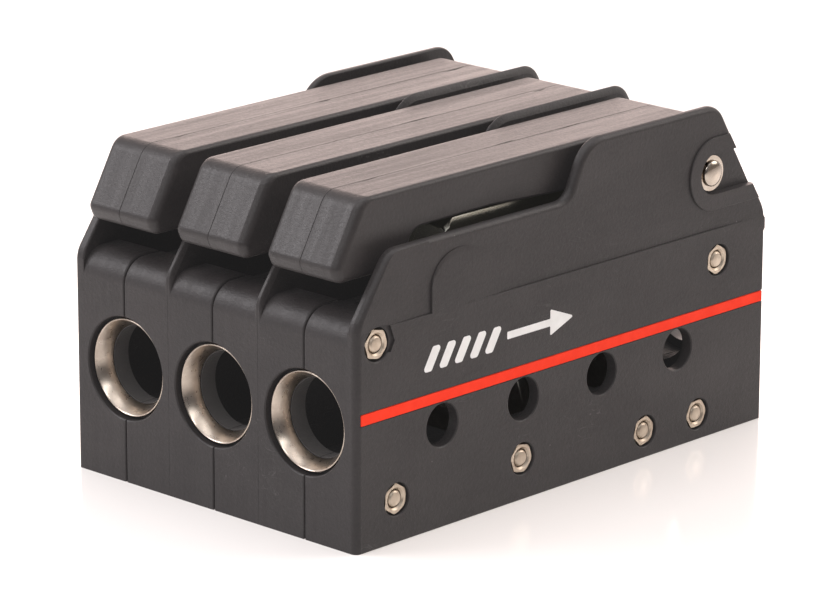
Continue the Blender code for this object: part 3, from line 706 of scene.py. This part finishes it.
def make_middle_casing(name, centre):
    half = PITCH / 2 - HALF_SLOT
    ridge = (1.25, 2.1)
    fillets = [0.0, 0.5, ridge, ridge, (1.2, 1.6), ridge, (0.9, 1.6), 0.7]
    front_edge_groove = {7: 0.09}
    shell = body(f"{name}_moulding", add_filleted, fence_corners(), centre - half, centre + half,
                 fillets, fillets, [(centre, front_edge_groove)])
    left, right = centre - PITCH / 2, centre + PITCH / 2
    halves = half_clutch_tools(f"{name} a", left, 1) + half_clutch_tools(f"{name} b", right, -1)
    shape(shell, halves, "UNION")
    cuts = [rope_way_tool([left, right]), cross_hole_tool(left - 5, right + 5, [left, right]),
            mount_hole_tool(centre)]
    shape(shell, cuts, "DIFFERENCE")
    finish_piece(shell, CASING, "casing", "casing_nylon", name)


def rake_along(height):
    """Where the slanted rear edge of a wall is at a height."""
    return RAKE_TOP + (LENGTH - RAKE_TOP) * (FENCE_HIGH - height) / (FENCE_HIGH - RAKE_FOOT)


def smoothstep(value):
    value = min(max(value, 0.0), 1.0)
    return value * value * (3 - 2 * value)


def tab_height(along, height):
    """How far the moulded tab above the label band stands out: full in front, nothing at the rear."""
    behind = (along - 42.0) + 0.55 * (height - LABEL_TOP)
    return (SIDE_STEP + TAB_SINK) * (1 - smoothstep(behind / TAB_FADE)) - TAB_SINK


def tab_top(along):
    """The tab's upper edge: a quarter round, then a slow fall."""
    if along >= TAB_SHOULDER:
        return TAB_TOP_HEIGHT - 0.012 * (along - TAB_SHOULDER) ** 2
    reach = (TAB_SHOULDER - along) / (TAB_SHOULDER - TAB_FRONT)
    rise = TAB_TOP_HEIGHT - TAB_FRONT_HEIGHT
    return TAB_FRONT_HEIGHT + rise * math.sqrt(max(0.0, 1 - reach ** 2))


def tab_tool(side):
    """The tab as a slab between a sculpted outer skin and a flat back inside the wall."""
    rounding = TAB_SHOULDER - TAB_FRONT
    columns = [TAB_FRONT + rounding * (1 - math.cos(math.pi / 2 * step / 14)) for step in range(15)]
    columns += [TAB_SHOULDER + (TAB_END - TAB_SHOULDER) * step / 18 for step in range(1, 19)]
    rows = 14
    base = HALF_WIDTH - SIDE_STEP

    def build(bm):
        outer, back = [], []
        for c, along in enumerate(columns):
            top = tab_top(along)
            outer_column, back_column = [], []
            for r in range(rows + 1):
                height = LABEL_TOP - 1.5 + (top - LABEL_TOP + 1.5) * (r / rows) ** 0.8
                edge = 0.28 if r == rows or c == 0 else 0.0
                outward = base + tab_height(along, height) - edge
                outer_column.append(bm.verts.new(world(side * outward, along, height)))
                back_column.append(bm.verts.new(world(side * (base - 0.7), along, height)))
            outer.append(outer_column)
            back.append(back_column)
        last = len(columns) - 1
        for c in range(last):
            for r in range(rows):
                bm.faces.new((outer[c][r], outer[c + 1][r], outer[c + 1][r + 1], outer[c][r + 1]))
                bm.faces.new((back[c][r], back[c][r + 1], back[c + 1][r + 1], back[c + 1][r]))
            for r in (0, rows):
                bm.faces.new((outer[c][r], back[c][r], back[c + 1][r], outer[c + 1][r]))
        for c in (0, last):
            for r in range(rows):
                bm.faces.new((outer[c][r], outer[c][r + 1], back[c][r + 1], back[c][r]))
    return body("tab", build)


def fading_pad(side, fillets, flush, fade, top):
    """Brings the wall out to the label band's face at one end, fading away toward the middle."""
    face = side * HALF_WIDTH
    inside = side * (HALF_WIDTH - 3.0)
    skin = side * (HALF_WIDTH - SIDE_STEP - 0.05)
    beyond = flush + math.copysign(4.0, flush - fade)
    pad = body("pad", add_filleted, fence_corners(), *sorted((inside, face)), *fillets)
    outline = [(inside, beyond), (face + side * 0.1, beyond), (skin, fade), (inside, fade)]
    rings = [[world(across, along, height) for across, along in outline]
             for height in (LABEL_TOP - 3.0, top)]
    wedge = body("wedge", loft, rings)
    return shape(pad, [wedge], "INTERSECT")


def end_face_tools(side):
    """Cuts in an end wall: clip channel, nut pockets, stripe groove and side holes."""
    outside = side * (HALF_WIDTH + 2)

    def span(inner):
        return (min(inner, outside), max(inner, outside))

    def channel(bm):
        outline = arc(PIVOT, CHANNEL_HALF_HEIGHT, 90, 270, 32)
        outline += [(LENGTH + 2, PIVOT[1] - CHANNEL_HALF_HEIGHT),
                    (LENGTH + 2, PIVOT[1] + CHANNEL_HALF_HEIGHT)]
        add_prism(bm, outline, *span(side * (HALF_WIDTH - CHANNEL_DEPTH)))

    def pockets(bm):
        profile = chamfered_hole(POCKET_RADIUS, POCKET_DEPTH, 0.25)
        for along, height in BOLT_PLACES[1:]:
            add_turned(bm, profile, world(side * HALF_WIDTH, along, height), (-side, 0, 0), 48)
        wide = chamfered_hole(FIRST_POCKET_RADIUS, POCKET_DEPTH, 0.25)
        add_turned(bm, wide, world(side * HALF_WIDTH, *BOLT_PLACES[0]), (-side, 0, 0), 48)

    def relief(bm):
        outline = [(9.0, 64.0), (13.2, 63.3), (15.0, 58.6), (13.4, 55.6), (10.0, 56.0)]
        add_prism(bm, outline, *span(side * (HALF_WIDTH - RELIEF_DEPTH)))

    def groove(bm):
        add_prism(bm, box_outline(1.6, LENGTH + 1.0, STRIPE_LOW - 0.08, STRIPE_HIGH + 0.2),
                  *span(side * (HALF_WIDTH - STRIPE_GROOVE_DEPTH)))

    def holes(bm):
        depth = SIDE_HOLE_DEPTH_RIGHT if side > 0 else SIDE_HOLE_DEPTH_LEFT
        profile = chamfered_hole(SIDE_HOLE_RADIUS, depth, 0.3)
        for index in range(4):
            along = SIDE_HOLE_START + SIDE_HOLE_SPACING * index
            place = world(side * HALF_WIDTH, along, SIDE_HOLE_HEIGHT)
            add_turned(bm, profile, place, (-side, 0, 0), 64)
    return [body("tool", build) for build in (channel, pockets, relief, groove, holes)]


def make_end_casing(name, side):
    clutch = CLUTCH_CENTRES[2] if side > 0 else CLUTCH_CENTRES[0]
    inside = clutch + side * HALF_SLOT
    skin = side * (HALF_WIDTH - SIDE_STEP)
    front_edge = 2.2 if side > 0 else 1.3
    outer = [0.4, 0.5, 1.6, 1.8, front_edge, 1.8, front_edge, front_edge]
    inner = [0.0, 0.3, 0.6, 0.8, 0.8, 0.8, 0.8, 0.6]
    sides = by_side(side, inner, outer)
    shell = body(f"{name}_moulding", add_filleted, fence_corners(), *sorted((inside, skin)), *sides)
    face = side * HALF_WIDTH
    band_fillets = [0.4, 0.4, 0.3, front_edge]
    plain = [0.0] * 4
    band = body("band", add_filleted, box_corners(0, LENGTH, 0, LABEL_TOP), *sorted((inside, face)),
                *by_side(side, plain, band_fillets))
    low, high = PIVOT[1] - BOSS_RADIUS, PIVOT[1] + BOSS_RADIUS
    boss_front, rounding = PIVOT[0] - BOSS_RADIUS, BOSS_RADIUS - 0.02
    boss_corners = [(rake_along(high) - 0.8, high, 0), (boss_front, high, rounding),
                    (boss_front, low, rounding), (rake_along(low) - 0.2, low, 0)]
    boss_fillets = [0.3, 0.3, 0.3, 0.8]
    back = side * (HALF_WIDTH - SIDE_STEP - OVERLAP)
    boss = body("boss", add_filleted, boss_corners, *sorted((back, face)),
                *by_side(side, plain, boss_fillets))
    lip_face = side * (HALF_WIDTH - 0.01)
    lip_corners = box_corners(LIP_START, LENGTH + 0.7, LIP_BOTTOM, LABEL_TOP - 0.05, 1.2)
    lip = body("lip", add_filleted, lip_corners, *sorted((inside, lip_face)), 0.5, 0.5)
    pads = [fading_pad(side, sides, 0.0, PAD_END, FENCE_LOW + 2.0),
            fading_pad(side, sides, LENGTH, PIVOT[0] - 2.0, PIVOT[1])]
    parts = [band, boss, lip, tab_tool(side)] + pads + half_clutch_tools(name, clutch, side)
    shape(shell, parts, "UNION")
    ends = sorted((clutch - side * 5, side * (HALF_WIDTH + 5)))
    cuts = [rope_way_tool([clutch]), cross_hole_tool(*ends, [clutch])] + end_face_tools(side)
    shape(shell, cuts, "DIFFERENCE")
    finish_piece(shell, CASING, "casing", "casing_nylon", name)


# ---- fixed pieces

def make_bushing(name, centre, face, direction):
    """A flared ring: rolled rim, trumpet throat, straight sleeve."""
    rim = arc((FLANGE_RADIUS - RIM_RADIUS, RIM_RADIUS), RIM_RADIUS, 0, -90, 6)
    throat = []
    for step in range(15):
        left = 1 - step / 14
        flare = 1.35 * left + 1.1 * left ** 2
        throat.append((THROAT_RADIUS + flare, BUSHING_DEPTH - (BUSHING_DEPTH - 0.03) * left))
    profile = rim + throat + [(SLEEVE_RADIUS, BUSHING_DEPTH),
                              (SLEEVE_RADIUS, FLANGE_DEPTH), (FLANGE_RADIUS, FLANGE_DEPTH)]
    ring = body(f"{name}_polished", add_turned, profile, world(centre, face, ROPE_HEIGHT),
                (0, direction, 0), 128)
    finish_piece(ring, POLISHED, "casing", "polished_stainless", name)


def hexagon(place, radius, turn_deg):
    return arc(place, radius, turn_deg, turn_deg + 300, 5)


def chamfered_hex(name, place, seat, face, turn_deg, side):
    """A hexagon whose outer corners are turned off, as on a nut or bolt head."""
    radius = ACROSS_FLATS / math.sqrt(3)
    low, high = min(seat, face), max(seat, face)
    blank = body(name, add_prism, hexagon(place, radius, turn_deg), low, high)
    depth = abs(face - seat)
    profile = [(0, 0), (4.1, 0), (4.35, 0.1), (4.75, 0.4), (4.75, depth - 0.3), (4.3, depth), (0, depth)]
    turning = body("turning", add_turned, profile, world(face, *place), (-side, 0, 0), 64)
    return shape(blank, [turning], "INTERSECT")


def make_fasteners():
    for number, (place, turn) in enumerate(zip(BOLT_PLACES, NUT_TURNS_DEG), start=1):
        nut = chamfered_hex(f"cross_bolt_nut_{number}_steel", place, NUT_SEAT, NUT_FACE, turn, 1)
        thickness = NUT_FACE - NUT_SEAT
        bore = [(0, -1), (3.3 + 1, -1), (2.72, 0.55), (2.72, thickness + 1), (0, thickness + 1)]
        hole = body("tool", add_turned, bore, world(NUT_FACE, *place), (-1, 0, 0), 48)
        shape(nut, [hole], "DIFFERENCE")
        finish_piece(nut, FASTENER, "casing", "fastener_steel", f"cross_bolt_nut_{number}")
        bolt = chamfered_hex(f"cross_bolt_{number}_steel", place, -NUT_SEAT, -BOLT_END, turn + 17, -1)
        socket = [(0, -1), (1.9, -1), (1.9, 1.0), (1.5, 1.2), (0, 1.2)]
        dimple = body("tool", add_turned, socket, world(-BOLT_END, *place), (1, 0, 0), 32)
        shape(bolt, [dimple], "DIFFERENCE")
        end = BOLT_END + 0.05
        reach = end + NUT_SEAT + OVERLAP
        thread = [(0, 0), (1.75, 0), (2.0, 0.1), (2.35, 0.5)]
        crests = [(2.35 + 0.1 * (-1) ** k, 0.7 + 0.4 * k) for k in range(9)]
        profile = thread + crests + [(THREAD_RADIUS, 5.0), (THREAD_RADIUS, reach), (0, reach)]
        shank = body("shank", add_turned, profile, world(end, *place), (-1, 0, 0), 48)
        shape(bolt, [shank], "UNION")
        finish_piece(bolt, FASTENER, "casing", "fastener_steel", f"cross_bolt_{number}")


def make_pin_and_clips():
    floor = HALF_WIDTH - CHANNEL_DEPTH
    groove_start = floor + CLIP_CLEARANCE
    groove_end = groove_start + CLIP_THICKNESS + FIT
    tip = HALF_WIDTH + 0.2
    dome = [(PIN_RADIUS * math.cos(math.radians(a)), tip - 1.25 + 1.25 * math.sin(math.radians(a)))
            for a in range(0, 90, 9)] + [(0, tip)]
    half = [(PIN_RADIUS, groove_start), (PIN_GROOVE_RADIUS, groove_start),
            (PIN_GROOVE_RADIUS, groove_end), (PIN_RADIUS - 0.15, groove_end),
            (PIN_RADIUS, groove_end + 0.15)] + dome
    profile = half + [(radius, -distance) for radius, distance in reversed(half[:-1])]
    profile.insert(len(half), (0, -tip))
    pin = body("handle_pivot_pin_steel", add_turned, profile, world(0, *PIVOT), (1, 0, 0), 72)
    finish_piece(pin, PIN_STEEL, "casing", "polished_stainless", "handle_pivot_pin")
    inner = groove_start + FIT / 2
    for label, side in (("left", -1), ("right", 1)):
        last = CLIP_OPEN_FROM + 360
        outside = arc(PIVOT, CLIP_RADIUS, CLIP_OPEN_TO, last, 56)
        ends = []
        for at, start in ((CLIP_OPEN_FROM, CLIP_OPEN_FROM), (CLIP_OPEN_TO, CLIP_OPEN_TO - 180)):
            place = (PIVOT[0] + CLIP_MIDDLE_RADIUS * math.cos(math.radians(at)),
                     PIVOT[1] + CLIP_MIDDLE_RADIUS * math.sin(math.radians(at)))
            ends.append(arc(place, CLIP_END_RADIUS, start, start + 180, 8))
        inside = arc(PIVOT, PIN_GROOVE_RADIUS + 0.2, last, CLIP_OPEN_TO, 56)
        outline = outside + ends[0][1:-1] + inside + ends[1][1:-1]
        low, high = sorted((side * inner, side * (inner + CLIP_THICKNESS)))
        clip = body(f"pivot_clip_{label}_steel", add_prism, outline, low, high)
        add_bevel(clip, 0.12, 40)
        apply_modifiers(clip)
        finish_piece(clip, PIN_STEEL, "casing", "polished_stainless", f"pivot_clip_{label}")


def make_stripes():
    for label, side in (("left", -1), ("right", 1)):
        low, high = sorted((side * (HALF_WIDTH - 0.6), side * (HALF_WIDTH - 0.03)))
        sides = by_side(side, 0.0, 0.25)
        corners = box_corners(1.8, LENGTH - 0.15, STRIPE_LOW, STRIPE_HIGH, 0.4)
        stripe = body(f"side_stripe_{label}_red", add_filleted, corners, low, high, *sides)
        finish_piece(stripe, STRIPE, "casing", "stripe_red", f"side_stripe_{label}")


def make_spring(number, centre):
    """A return spring with closed ends, between the casing and its carriage."""
    low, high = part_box(f"return_spring_{number}")
    start, end = (low.y - FRONT) / MM + WIRE_RADIUS, (high.y - FRONT) / MM - WIRE_RADIUS
    height = (low.z + high.z) / 2 / MM - SPRING_DROP
    radius = (high.z - low.z) / 2 / MM - WIRE_RADIUS
    around = 36
    total = int(SPRING_TURNS * around)

    def build(bm):
        rings = []
        for step in range(total + 1):
            angle = math.tau * step / around
            share = min(max((step / total - 0.12) / 0.76, 0.0), 1.0)
            along = start + (end - start) * (0.06 * step / total + 0.94 * share)
            outward = Vector((math.cos(angle), 0, math.sin(angle)))
            middle = world(centre, along, height) + outward * radius * MM
            ring = []
            for k in range(12):
                turn = math.tau * k / 12
                spoke = outward * math.cos(turn) + Vector((0, 1, 0)) * math.sin(turn)
                ring.append(middle + spoke * WIRE_RADIUS * MM)
            rings.append(ring)
        loft(bm, rings)
    spring = body(f"return_spring_{number}_wire", build)
    spring.data.materials.append(SPRING_STEEL)
    spring.data.shade_smooth()
    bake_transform(spring)
    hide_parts(f"return_spring_{number}")


def make_print():
    """A plain rope pictogram and load arrow, printed on the right side face."""
    low, high = HALF_WIDTH - 0.05, HALF_WIDTH + 0.03

    def build(bm):
        lean, width, bottom, top, radius = 4.2, 3.6, 46.6, 53.6, 0.9
        for index in range(5):
            start = 26.0 + 6.2 * index
            strand = [(start, bottom, radius), (start + width, bottom, radius),
                      (start + width + lean, top, radius), (start + lean, top, radius)]
            add_prism(bm, rounded(strand), low, high)
        arrow = [(60.5, 49.0, 0.3), (78.5, 49.0, 0.3), (78.5, 46.2, 0.4), (88.5, 50.1, 0.4),
                 (78.5, 54.0, 0.4), (78.5, 51.2, 0.3), (60.5, 51.2, 0.3)]
        add_prism(bm, rounded(arrow), low, high)
    mark = body("rope_direction_print", build)
    mark.data.materials.append(INK)
    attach(mark, "casing")


# ---- handle

def handle_corners():
    """Side view of a closed handle: deep nose, shallow skirt, round heel at the hinge."""
    start = Vector((HANDLE_REAR, HANDLE_TOP)) - Vector(PIVOT)
    tangent = math.atan2(start.y, start.x) - math.acos(HEEL_RADIUS / start.length)
    bottom = PIVOT[1] - HEEL_RADIUS
    touch = Vector(PIVOT) + HEEL_RADIUS * Vector((math.cos(tangent), math.sin(tangent)))
    far = touch.x + math.sin(tangent) * (touch.y - bottom) / math.cos(tangent)
    return [
        (26.5, NOSE_BOTTOM, 2.5), (0.2, NOSE_BOTTOM, 3.2), (-1.6, 80.2, 2.6), (8.9, HANDLE_TOP, 6.0),
        (HANDLE_REAR, HANDLE_TOP, 5.0), (far, bottom, HEEL_RADIUS), (134.0, bottom, 1.0),
        (122.0, 84.7, 5.0), (86.0, 85.15, 12.0), (60.0, 86.6, 12.0), (28.0, 86.2, 5.0),
    ]


HANDLE_FILLETS = [2.2, 2.8, 2.8, 1.35, 1.35, 1.0, 0.8, 0.8, 0.9, 0.9, 0.9]
PARTING_GROOVE = {0: 0.12, 1: 0.15, 2: 0.16, 3: 0.13}


def cam_point(angle_deg):
    """Cam surface that drives the roller as far as the handle has turned, in equal steps."""
    radius_per_deg = TRAVEL / OPEN_DEG
    reach = CLOSED_REACH - radius_per_deg * angle_deg
    angle = math.radians(180 + angle_deg)
    spoke = Vector((math.cos(angle), math.sin(angle)))
    across_spoke = Vector((-math.sin(angle), math.cos(angle)))
    along_curve = across_spoke * reach - spoke * math.degrees(radius_per_deg)
    normal = Vector((along_curve.y, -along_curve.x)).normalized()
    surface = spoke * reach - normal * (ROLLER_RADIUS + FIT)
    return (PIVOT[0] + surface.x, PIVOT[1] + surface.y)


def cam_outline():
    flank = [cam_point(OPEN_DEG * step / 36) for step in range(37)]
    roof = HANDLE_ROOF + OVERLAP
    rear = [(PIVOT[0] + 3.0, PIVOT[1] - 4.0), (PIVOT[0] - 1.5, PIVOT[1] + 8.0), (PIVOT[0] - 11.0, roof)]
    return [(flank[0][0], roof)] + flank + rear


def add_flash_mark(bm, across, along, length, width):
    """A ragged slit where flash tore away along the parting line."""
    rings = []
    for share, spread in ((0, 0.04), (0.2, 0.55), (0.45, 1.0), (0.6, 0.8), (0.8, 0.35), (1, 0.04)):
        middle = along + length * share
        half = width / 2 * spread
        lean = 0.25 * math.sin(share * 5)
        rings.append([world(across + lean - half, middle, HANDLE_TOP + 0.5),
                      world(across + lean + half, middle, HANDLE_TOP + 0.5),
                      world(across + lean, middle, HANDLE_TOP - 0.15 - 0.5 * spread)])
    loft(bm, rings)


# Per handle: marks of (across, along, length, width).
FLASH_MARKS = (
    ((0.2, 77.0, 9.0, 1.6), (0.7, 131.0, 11.0, 1.6), (0.4, 18.0, 9.0, 0.6)),
    ((-0.3, 76.0, 14.0, 1.7), (0.7, 131.0, 8.0, 1.3), (-0.2, 44.0, 8.0, 0.6)),
    ((-0.4, 76.0, 11.0, 1.8), (-0.1, 100.0, 15.0, 1.0), (0.3, 20.0, 12.0, 0.6)),
)


def make_handle(number, centre):
    """A hollow handle with its hinge hub and cam, a parting groove and torn flash on its top."""
    half = HANDLE_HALF_WIDTH
    shell = body(f"handle_{number}_moulding", add_filleted, handle_corners(), centre - half,
                 centre + half, HANDLE_FILLETS, HANDLE_FILLETS, [(centre, PARTING_GROOVE)])
    inside = half - HANDLE_WALL
    hollow = [(28.8, 60.0, 0), (28.8, HANDLE_ROOF, 4), (138.0, HANDLE_ROOF, 4), (146.0, 88.5, 2),
              (151.5, 79.5, 0), (161.0, 66.5, 0), (161.0, 60.0, 0)]
    nose = [(7.5, 70.0, 0), (8.5, 88.0, 4), (24.0, 88.0, 3), (24.0, 70.0, 0)]
    tools = [body("tool", add_filleted, cavity, centre - inside, centre + inside)
             for cavity in (hollow, nose)]

    def add_marks(bm):
        for across, along, length, width in FLASH_MARKS[number - 1]:
            add_flash_mark(bm, centre + across, along, length, width)
    shape(shell, tools + [body("tool", add_marks)], "DIFFERENCE")
    hub = body("hub", add_cross_bar, HUB_RADIUS, centre - inside - OVERLAP, centre + inside + OVERLAP,
               *PIVOT, 64)
    cam = body("cam", add_prism, cam_outline(), centre - CAM_HALF_WIDTH, centre + CAM_HALF_WIDTH)
    shape(shell, [hub, cam], "UNION")
    hole = body("tool", add_cross_bar, PIN_RADIUS + FIT, centre - half - OVERLAP,
                centre + half + OVERLAP, *PIVOT, 48)
    shape(shell, [hole], "DIFFERENCE")
    finish_piece(shell, HANDLE, f"handle_{number}", "handle_nylon", f"handle_{number}")


# ---- push channel

def make_push_channel(number, centre):
    """A folded stainless channel: leaning top edges, round eyes for the cam roller."""
    half, top = CHANNEL_HALF_WIDTH, CHANNEL_TOP
    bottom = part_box(f"push_channel_{number}")[0].z / MM
    front, rear = PUSH_CHANNEL_FRONT, PUSH_CHANNEL_REAR
    roller = (PIVOT[0] - CLOSED_REACH, PIVOT[1])
    eye = arc(roller, EYE_RADIUS, 75, -75, 20)

    def side_view(drop):
        """The channel's side, with its top edge lowered by a drop."""
        nose = top - PUSH_CHANNEL_NOSE_DROP - 0.5 * drop
        edge = rounded([(front, bottom, 0), (front, nose, 0.8),
                        (PUSH_CHANNEL_SLOPE_END - 0.7 * drop, top - drop, 3), (rear, top - drop, 0)])
        return edge + [(118.5, top - max(0.6, drop))] + eye + [(118.0, 74.0), (106.0, bottom)]

    def folded(bm):
        """Side views joined across the channel. A fold is (inward, drop)."""
        folds = ((0.0, 2.3), (0.85, 0.12), (1.1, 0.0))
        levels = [(inward - half, drop) for inward, drop in folds]
        levels += [(half - inward, drop) for inward, drop in reversed(folds)]
        loft(bm, [[world(centre + across, along, height) for along, height in side_view(drop)]
                  for across, drop in levels])
    channel = body(f"push_channel_{number}_folded", folded)
    wall, roof = front + 0.2 + SHEET, top - SHEET
    inner_view = [(wall, bottom - 2, 0), (wall, roof - 2.0, 1.0), (53.0, roof, 2.0), (rear, roof, 0),
                  (rear, top + 2, 0), (150.0, top + 2, 0), (150.0, bottom - 2, 0)]
    hollow = body("hollow", add_filleted, inner_view, centre - half + SHEET, centre + half - SHEET)
    roller_hole = body("tool", add_cross_bar, ROLLER_RADIUS + 0.25, centre - half - OVERLAP,
                       centre + half + OVERLAP, *roller, 40)
    shape(channel, [hollow, roller_hole], "DIFFERENCE")
    finish_piece(channel, SHEET_STEEL, f"carriage_{number}", "polished_stainless",
                 f"push_channel_{number}")


# ---- carried-over nodes

def dress(node, material, edge):
    """Give a CAD node that stays its finish, and round its edges with a modifier."""
    obj = frame["nodes"][node]
    obj.data.materials.clear()
    obj.data.materials.append(material)
    weld = obj.modifiers.new("joined vertices", "WELD")
    weld.merge_threshold = 0.001 * MM
    add_bevel(obj, edge, 50)


def dress_mechanism():
    """Finish the carriages, cam rollers and grip rings, which keep their CAD shapes."""
    for number in (1, 2, 3):
        dress(f"carriage_{number}", CARRIAGE, 0.35)
        dress(f"cam_roller_{number}", POLISHED, 0.25)
        for index in (1, 2, 3, 4):
            dress(f"grip_ring_{number}_{index}", RING_STEEL, 0.3)


# ---- studio

def make_floor():
    bpy.ops.mesh.primitive_plane_add(size=14.0)
    floor = bpy.context.object
    floor.name = "floor"
    n = Nodes(bpy.data.materials.new("white table"))
    n.link("Base Color", n.mixed(n.noise(3.0, 2.0), (0.84, 0.83, 0.82), (0.87, 0.86, 0.85)))
    n.link("Roughness", n.ranged(n.noise(9.0, 2.0), 0.3, 0.7, 0.10, 0.16))
    n.set("Emission Color", (1.0, 0.84, 0.76, 1.0))
    n.set("Emission Strength", 0.19)
    floor.data.materials.append(n.material)


def add_area(name, place, target, size, power, colour=(1.0, 1.0, 1.0)):
    light = bpy.data.lights.new(name, "AREA")
    light.shape = "RECTANGLE"
    light.size, light.size_y = size
    light.energy = power
    light.color = colour
    obj = bpy.data.objects.new(name, light)
    bpy.context.collection.objects.link(obj)
    obj.location = place
    obj.rotation_euler = (Vector(target) - Vector(place)).to_track_quat("-Z", "Y").to_euler()
    obj.visible_camera = False


def direction(azimuth_deg, elevation_deg):
    """A unit vector, with azimuth 0 toward the front and 90 toward the right side."""
    azimuth, elevation = math.radians(azimuth_deg), math.radians(elevation_deg)
    level = math.cos(elevation)
    return (math.sin(azimuth) * level, -math.cos(azimuth) * level, math.sin(elevation))


ROOM_COLOUR = (0.76, 0.76, 0.78)
# Patches of the room: azimuth and elevation in degrees, cosines at outer edge and core, colour.
ROOM_PATCHES = (
    (43.5, 14.0, 0.40, 0.88, (0.12, 0.12, 0.13)),
    (133.5, 0.0, 0.45, 0.95, (0.22, 0.19, 0.17)),
    (150.0, 33.0, 0.91, 0.978, (4.4, 4.1, 3.9)),
    (223.5, 12.0, 0.62, 0.97, (1.00, 0.82, 0.76)),
)


def make_world():
    """A pale room, dark in front and at the right, with a bright spot for the channel's edge and a
    warm patch behind. The view itself sees plain white behind the object."""
    made = bpy.data.worlds.new("studio")
    bpy.context.scene.world = made
    n = Nodes(made, "Background", "Generated")
    colour = None
    for azimuth, elevation, edge, core, patch in ROOM_PATCHES:
        toward = n.node("ShaderNodeVectorMath", {0: n.place, 1: direction(azimuth, elevation)},
                        operation="DOT_PRODUCT")
        values = {"Value": toward.outputs["Value"], "From Min": edge, "From Max": core}
        share = n.node("ShaderNodeMapRange", values, interpolation_type="SMOOTHSTEP").outputs[0]
        colour = n.mixed(share, colour or ROOM_COLOUR, patch)
    seen = n.node("ShaderNodeLightPath").outputs["Is Camera Ray"]
    n.link("Color", n.mixed(seen, colour, (1.0, 1.0, 1.0)))


CAMERA_PLACE = (0.904707, -0.955932, 0.428874)
CAMERA_YAW_DEG, CAMERA_PITCH_DEG, CAMERA_ROLL_DEG = 43.47, 16.31, 0.177
CAMERA_LENS = 201.1


def make_camera():
    camera = bpy.data.cameras.new("camera")
    camera.lens = CAMERA_LENS
    camera.sensor_width = 36.0
    obj = bpy.data.objects.new("camera", camera)
    bpy.context.collection.objects.link(obj)
    obj.location = CAMERA_PLACE
    yaw = Matrix.Rotation(math.radians(CAMERA_YAW_DEG), 3, "Z")
    pitch = Matrix.Rotation(math.radians(90 - CAMERA_PITCH_DEG), 3, "X")
    roll = Matrix.Rotation(math.radians(CAMERA_ROLL_DEG), 3, "Z")
    obj.rotation_euler = (yaw @ pitch @ roll).to_euler()
    bpy.context.scene.camera = obj


def make_studio():
    make_floor()
    make_world()
    add_area("top", (0.0, 0.0, 1.3), (0, 0, 0.05), (1.0, 1.0), 6.3, (1.0, 0.97, 0.96))
    add_area("key left", (-0.72, -0.68, 0.74), (0, 0, 0.06), (0.70, 0.45), 7.4, (1.0, 0.96, 0.98))
    add_area("back glow", (-0.23, 0.27, 0.165), (0, 0.03, 0.09), (0.42, 0.20), 0.8, (1.0, 0.80, 0.74))
    add_area("front lamp", (0.30, -0.75, 0.85), (0, 0, 0.06), (0.16, 0.16), 1.8)
    add_area("edge light", (0.58, -0.55, 0.80), (0, 0, 0.06), (0.36, 0.30), 1.3)
    make_camera()
    view = bpy.context.scene.view_settings
    view.view_transform = "Standard"
    view.look = "None"


# ---- build

def main():
    make_end_casing("left_end_casing", -1)
    make_end_casing("right_end_casing", 1)
    make_middle_casing("left_middle_casing", -PITCH / 2)
    make_middle_casing("right_middle_casing", PITCH / 2)
    for number, centre in enumerate(CLUTCH_CENTRES, start=1):
        make_bushing(f"front_bushing_{number}", centre, RING_RECESS, 1)
        make_bushing(f"rear_bushing_{number}", centre, LENGTH - RING_RECESS, -1)
        make_handle(number, centre)
        make_push_channel(number, centre)
        make_spring(number, centre)
    make_fasteners()
    make_pin_and_clips()
    make_stripes()
    make_print()
    dress_mechanism()
    make_studio()


main()
